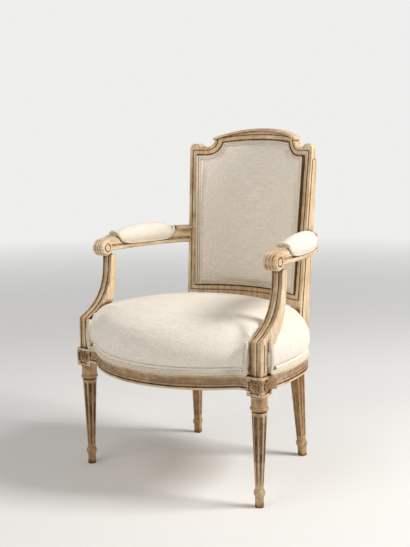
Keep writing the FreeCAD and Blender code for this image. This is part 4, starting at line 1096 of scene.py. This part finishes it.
@dataclass
class Seat:
    """Seat upholstery: padded cover, double welts, webbing and burlap."""

    palette: Palette
    outline: Outline
    cord_low: float = 320.8
    cord_high: float = 325.7
    cord_off: float = -1.9
    cord_top: float = 397.0
    climb_low: float = 323.0
    settle: float = 2.0
    levels: tuple[tuple[float, float], ...] = (
        (318.0, -7.0), (326.0, -5.0), (333.0, 3.0), (355.0, 8.5), (374.0, 6.5), (394.0, -4.0), (411.0, -20.0))
    tuck: float = 5.0
    draw: float = 5.0
    roll_off: float = -6.2
    roll_z: float = 331.0
    post_inner: float = 246.9
    post_back: float = -158.4
    post_side: float = 285.0
    hug: float = 0.35
    meet_run: float = 70.0

    def build(self) -> None:
        """Makes every piece of the seat."""
        self.cover()
        self.welts()
        sheet("seat_burlap", "seat_jute", "burlap", self.palette.jute)
        sheet("seat_webbing", "seat_webs", "webbing", self.palette.jute)

    def cover(self) -> None:
        """The padded cover."""
        piece = Padding(voxel=6.0, cap=5.0).swell("seat_linen", "seat_stuffing", "seat_cover")
        co = points_of(piece)
        co[:, 2] -= self.settle * MM * (1.0 - step_up(co[:, 2], 0.345, 0.372))
        tuck = 1.0 - step_up(co[:, 2], 0.329, 0.339)
        co[:, :2] *= 1.0 - self.tuck * MM / 0.27 * tuck[:, None]
        self.meet_posts(co)
        put_points(piece, co)
        covered(piece, self.palette.linen)
        dress(piece, "linen", "seat_cover", "seat_stuffing")

    def meet_posts(self, co: np.ndarray) -> None:
        """Draws the cloth up to both sides of each post, flush with its face.

        Args:
            co: corner positions of the cover, which are changed.
        """
        back = (self.post_back + PLAN_SHIFT) * MM
        side = (np.abs(co[:, 0]) > 0.250) & (co[:, 1] > back - 0.002)
        near = (1.0 - step_up(co[:, 1], back + 0.006, back + self.meet_run * MM)) * side
        out = np.maximum(np.abs(co[:, 0]) - (self.post_side + 1.0) * MM, 0.0)
        co[:, 0] -= np.sign(co[:, 0]) * out * near * 0.75
        co[:, 1] -= self.draw * MM * (1.0 - step_up(co[:, 1], back, back + 0.03)) * side
        front = (co[:, 1] < back - 0.012) & (np.abs(co[:, 0]) < self.post_inner * MM)
        ease = step_up(np.abs(co[:, 0]), 0.200, 0.238) * front
        co[:, 0] += np.sign(co[:, 0]) * self.draw * MM * ease

    def skin(self, z: float) -> float:
        """How far the seat's side stands out from the rail outline at a height."""
        for (z0, off0), (z1, off1) in zip(self.levels, self.levels[1:]):
            if z <= z1:
                return off0 + (off1 - off0) * (z - z0) / (z1 - z0)
        return self.levels[-1][1]

    def rise(self, x: float, y: float, way: Vector, out: float, share: float) -> Path:
        """Cord that climbs beside the post.

        Args:
            x: where it climbs.
            y: where it climbs, on the rail outline.
            way: outward direction there.
            out: how far it stands out of the cloth.
            share: how much of the cloth's swell it follows.

        Returns:
            Points from the rail upwards.
        """
        points = []
        for i in range(15):
            z = self.climb_low + (self.cord_top - self.climb_low) * i / 14
            proud = max(self.skin(z), 0.0) * share + out
            points.append((Vector((x, y + PLAN_SHIFT, z)) + way * proud) * MM)
        return points

    def welts(self) -> None:
        """Double cords along the rails and up both sides of the posts."""
        cords = DoubleCord("front_cords", radius=2.7)
        front = self.outline.front()
        total = front.total()
        paths = []
        for z, back in ((self.cord_low, 2.6), (self.cord_high, 7.6)):
            run = [front.offset(total * i / 120, self.cord_off, z) for i in range(121)]
            right = self.rise(self.post_inner - back, self.outline.front_y, Vector((0, -1, 0)), 1.2, 0.6)
            keep = [p for p in run if abs(p.x) < (self.post_inner - back - 2.0) * MM]
            paths.append((eased(flipped(right)[::-1] + keep + right), False))
        dress(cords.make(paths, self.palette.cord), "linen_welt", "seat_welt_front")
        side = self.outline.side()
        total = side.total()
        for hand in Side:
            paths = []
            for z, back in ((self.cord_low, 2.6), (self.cord_high, 7.6)):
                run = [side.offset(total * i / 90, self.cord_off, z) for i in range(91)]
                start = self.post_back + back
                keep = [p for p in run if p.y > (start + 2.0 + PLAN_SHIFT) * MM]
                climb = self.rise(self.post_side, start, Vector((1, 0, 0)), 1.6, self.hug)
                path = eased(climb[::-1] + keep)
                paths.append((path if hand is Side.RIGHT else flipped(path), False))
            label = "right" if hand is Side.RIGHT else "left"
            piece = DoubleCord("side_cords_" + label, radius=2.7).make(paths, self.palette.cord)
            dress(piece, "linen_welt", "seat_welt_side_" + label)
        self.edge_roll()
        paths = []
        for z in (self.cord_low, self.cord_high):
            arc = [self.outline.bow(x, 300.0, 16.0 + self.cord_off) for x in np.linspace(-136.0, 136.0, 60)]
            paths.append(([Vector((p.x, p.y, z * MM)) for p in arc], False))
        dress(DoubleCord("rear_cords").make(paths, self.palette.cord), "linen_welt", "seat_welt_rear")


    def edge_roll(self) -> None:
        """Stuffed roll under the seat's edge, against the welts."""
        front = self.outline.front()
        side = self.outline.side()
        reach = (self.post_inner - 12.0) * MM
        run = [front.offset(front.total() * i / 90, self.roll_off, self.roll_z) for i in range(91)]
        climb = self.rise(self.post_inner - 4.5, self.outline.front_y, Vector((0, -1, 0)), -4.0, 0.6)
        paths = [([p for p in run if abs(p.x) < reach], False), (climb, False), (flipped(climb), False)]
        climb = self.rise(self.post_side, self.post_back + 6.0, Vector((1, 0, 0)), -4.0, self.hug)
        paths += [(climb, False), (flipped(climb), False)]
        run = [side.offset(side.total() * i / 80, self.roll_off, self.roll_z) for i in range(4, 81)]
        paths += [(run, False), (flipped(run), False)]
        roll = DoubleCord("seat_edge_roll", radius=4.4, spacing=4.0).make(paths, self.palette.linen)
        dress(roll, "linen")


@dataclass
class Back:
    """Back upholstery: padded panel, double welt, outside cover and its welt."""

    palette: Palette
    outline: Outline
    grow: float = -3.0
    half_width: float = 155.0
    half_height: float = 195.0
    middle: float = 650.0

    def build(self) -> None:
        """Makes every piece of the back."""
        piece = Padding(voxel=5.0, cap=3.5).swell("back_linen", "back_stuffing", "back_cover")
        self.spread(piece)
        covered(piece, self.palette.linen)
        dress(piece, "linen", "back_cover", "back_stuffing")
        inside = [(self.outline.sight(off, -1.2), True) for off in (-2.9, -7.8)]
        cords = DoubleCord("back_cords", radius=2.6).make(inside, self.palette.cord)
        dress(cords, "linen_welt", "back_welt")
        outside = [(self.outline.sight(off, 24.0), True) for off in (-2.5, -6.4)]
        cords = DoubleCord("outside_back_cords", radius=2.0).make(outside, self.palette.cord)
        dress(cords, "linen_welt", "outside_back_welt")
        roll = DoubleCord("back_edge_roll", radius=4.6, spacing=4.0)
        dress(roll.make([(self.outline.sight(-13.0, 3.0), True)], self.palette.linen), "linen")
        sheet("back_burlap", "back_jute", "burlap", self.palette.jute)
        sheet("back_webbing", "back_webs", "webbing", self.palette.jute)
        sheet("outside_back_cover", "outside_back_linen", "linen", self.palette.linen)

    def spread(self, piece: bpy.types.Object) -> None:
        """Draws the padded panel out to its welt along the bow.

        Args:
            piece: the panel.
        """
        co = points_of(piece) / MM
        radius = self.outline.bow_radius
        wide = 1.0 + self.grow / self.half_width
        tall = 1.0 + self.grow / self.half_height
        x = co[:, 0] * wide
        z = self.middle + (co[:, 2] - self.middle) * tall
        new_bow = np.sqrt(np.maximum(radius ** 2 - x ** 2, 1.0))
        old_bow = np.sqrt(np.maximum(radius ** 2 - co[:, 0] ** 2, 1.0))
        co[:, 1] += new_bow - old_bow
        co[:, 1] += self.outline.rake * (z - co[:, 2])
        co[:, 0] = x
        co[:, 2] = z
        put_points(piece, co * MM)


@dataclass
class ArmPad:
    """Pad on one armrest with its double cord."""

    palette: Palette
    outline: Outline
    hand: Side
    foot: tuple[tuple[float, float], ...] = (
        (44.0, 605.0), (51.0, 597.0), (60.0, 588.0), (74.0, 581.5), (94.0, 578.5), (140.0, 577.8),
        (190.0, 577.8), (222.0, 578.8), (240.0, 584.0), (249.0, 593.0), (255.0, 603.0))
    half: float = 16.4

    def build(self) -> None:
        """Makes the pad and its cord."""
        label = "right" if self.hand is Side.RIGHT else "left"
        pad = Padding(voxel=3.5, cap=2.5).swell("arm_pad_linen_" + label, "arm_pad_stuffing_" + label)
        covered(pad, self.palette.linen)
        dress(pad, "linen", "arm_pad_cover_" + label, "arm_pad_stuffing_" + label)
        arm = self.outline.arm()
        paths = []
        for rise, half in ((2.5, self.half), (7.2, self.half), (9.5, self.half - 3.8)):
            out = [arm.offset(s, half, z + rise) for s, z in self.foot]
            back = [arm.offset(s, -half, z + rise) for s, z in reversed(self.foot)]
            ring = eased(out + back, True, 3)
            paths.append((ring if self.hand is Side.RIGHT else flipped(ring), True))
        roll = DoubleCord("arm_pad_roll_" + label, radius=3.4).make(paths[2:], self.palette.linen)
        dress(roll, "linen")
        piece = DoubleCord("arm_pad_cords_" + label, radius=2.5).make(paths[:2], self.palette.cord)
        dress(piece, "linen_welt", "arm_pad_welt_" + label)


@dataclass
class Studio:
    """Floor, soft light and the camera at the photograph's place."""

    azimuth: float = 35.4166
    height: float = 8.6521
    roll: float = 0.5563
    place: tuple[float, float, float] = (1.34625, -1.90052, 0.86818)
    focal_pixels: float = 909.48
    long_side: float = 547.0
    pale: Rgb = (0.86, 0.86, 0.85)

    def build(self) -> None:
        """Makes the whole studio."""
        self.floor()
        self.lights()
        self.world()
        self.camera()

    def floor(self) -> None:
        """Plain pale floor."""
        size = 30.0
        corners = [(-size, -size, 0), (size, -size, 0), (size, size, 0), (-size, size, 0)]
        plane = new_object("floor", corners, [], [(0, 1, 2, 3)])
        s = Shader("pale floor")
        s.surface.inputs["Roughness"].default_value = 0.9
        reach = s.add("ShaderNodeVectorMath", operation="LENGTH")
        s.join(s.place((0.1, 0.1, 0.1)), reach.inputs[0])
        far = s.ramp(reach.outputs["Value"], [(0.17, 0.0), (0.55, 1.0)])
        s.join(s.mix(far, (0.87, 0.87, 0.86), (0.0, 0.0, 0.0)), s.surface.inputs["Base Color"])
        s.surface.inputs["Specular IOR Level"].default_value = 0.0
        s.surface.inputs["Emission Color"].default_value = (*self.pale, 1.0)
        s.join(far, s.surface.inputs["Emission Strength"])
        plane.data.materials.append(s.material)

    def light(self, name: str, place: Vector, size: float, power: float, colour: Rgb) -> None:
        """One soft lamp aimed at the chair.

        Args:
            name: lamp's name.
            place: where it stands.
            size: width in metres.
            power: watts.
            colour: tint.
        """
        data = bpy.data.lights.new(name, "AREA")
        data.size = size
        data.energy = power
        data.color = colour
        lamp = bpy.data.objects.new(name, data)
        lamp.location = place
        aim = Vector((0.0, 0.0, 0.45)) - place
        lamp.rotation_euler = aim.to_track_quat("-Z", "Y").to_euler()
        bpy.context.scene.collection.objects.link(lamp)

    def lights(self) -> None:
        """Key light from the right, above and a little behind, a soft one in front, a weak one from the left."""
        self.light("key", Vector((2.3, 0.9, 2.7)), 1.1, 98.0, (1.0, 0.98, 0.95))
        self.light("front", Vector((-0.4, -2.0, 2.7)), 1.6, 20.0, (1.0, 0.94, 0.87))
        self.light("fill", Vector((-2.6, -0.8, 1.6)), 2.0, 9.0, (1.0, 0.97, 0.93))

    def world(self) -> None:
        """Even pale surroundings."""
        world = bpy.data.worlds.new("surroundings")
        world.use_nodes = True
        tree = world.node_tree
        tree.nodes.clear()
        out = tree.nodes.new("ShaderNodeOutputWorld")
        sky = tree.nodes.new("ShaderNodeBackground")
        sky.inputs[0].default_value = (1.0, 1.0, 1.0, 1.0)
        sky.inputs[1].default_value = 0.30
        backdrop = tree.nodes.new("ShaderNodeBackground")
        backdrop.inputs[0].default_value = (*self.pale, 1.0)
        backdrop.inputs[1].default_value = 1.0
        seen = tree.nodes.new("ShaderNodeLightPath")
        mix = tree.nodes.new("ShaderNodeMixShader")
        tree.links.new(seen.outputs["Is Camera Ray"], mix.inputs[0])
        tree.links.new(sky.outputs[0], mix.inputs[1])
        tree.links.new(backdrop.outputs[0], mix.inputs[2])
        tree.links.new(mix.outputs[0], out.inputs[0])
        bpy.context.scene.world = world

    def camera(self) -> None:
        """Camera at the photograph's viewing angle."""
        az, el, roll = (math.radians(v) for v in (self.azimuth, self.height, self.roll))
        back = Vector((math.sin(az) * math.cos(el), -math.cos(az) * math.cos(el), math.sin(el)))
        right = Vector((math.cos(az), math.sin(az), 0.0))
        up = back.cross(right)
        image_x = right * math.cos(roll) - up * math.sin(roll)
        image_y = right * math.sin(roll) + up * math.cos(roll)
        data = bpy.data.cameras.new("camera")
        data.sensor_width = 36.0
        data.lens = self.focal_pixels * data.sensor_width / self.long_side
        camera = bpy.data.objects.new("camera", data)
        turn = Matrix((image_x, image_y, back)).transposed()
        camera.matrix_world = Matrix.Translation(Vector(self.place)) @ turn.to_4x4()
        bpy.context.scene.collection.objects.link(camera)
        bpy.context.scene.camera = camera


def main() -> None:
    """Builds the chair piece by piece, then the studio."""
    logging.basicConfig(level=logging.INFO)
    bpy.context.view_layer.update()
    bpy.context.scene.view_settings.view_transform = "Standard"
    palette = Palette()
    outline = Outline()
    WoodFrame(palette).build()
    Rosettes(palette).build()
    Seat(palette, outline).build()
    Back(palette, outline).build()
    for hand in Side:
        ArmPad(palette, outline, hand).build()
    Studio().build()


if __name__ == "__main__":
    main()
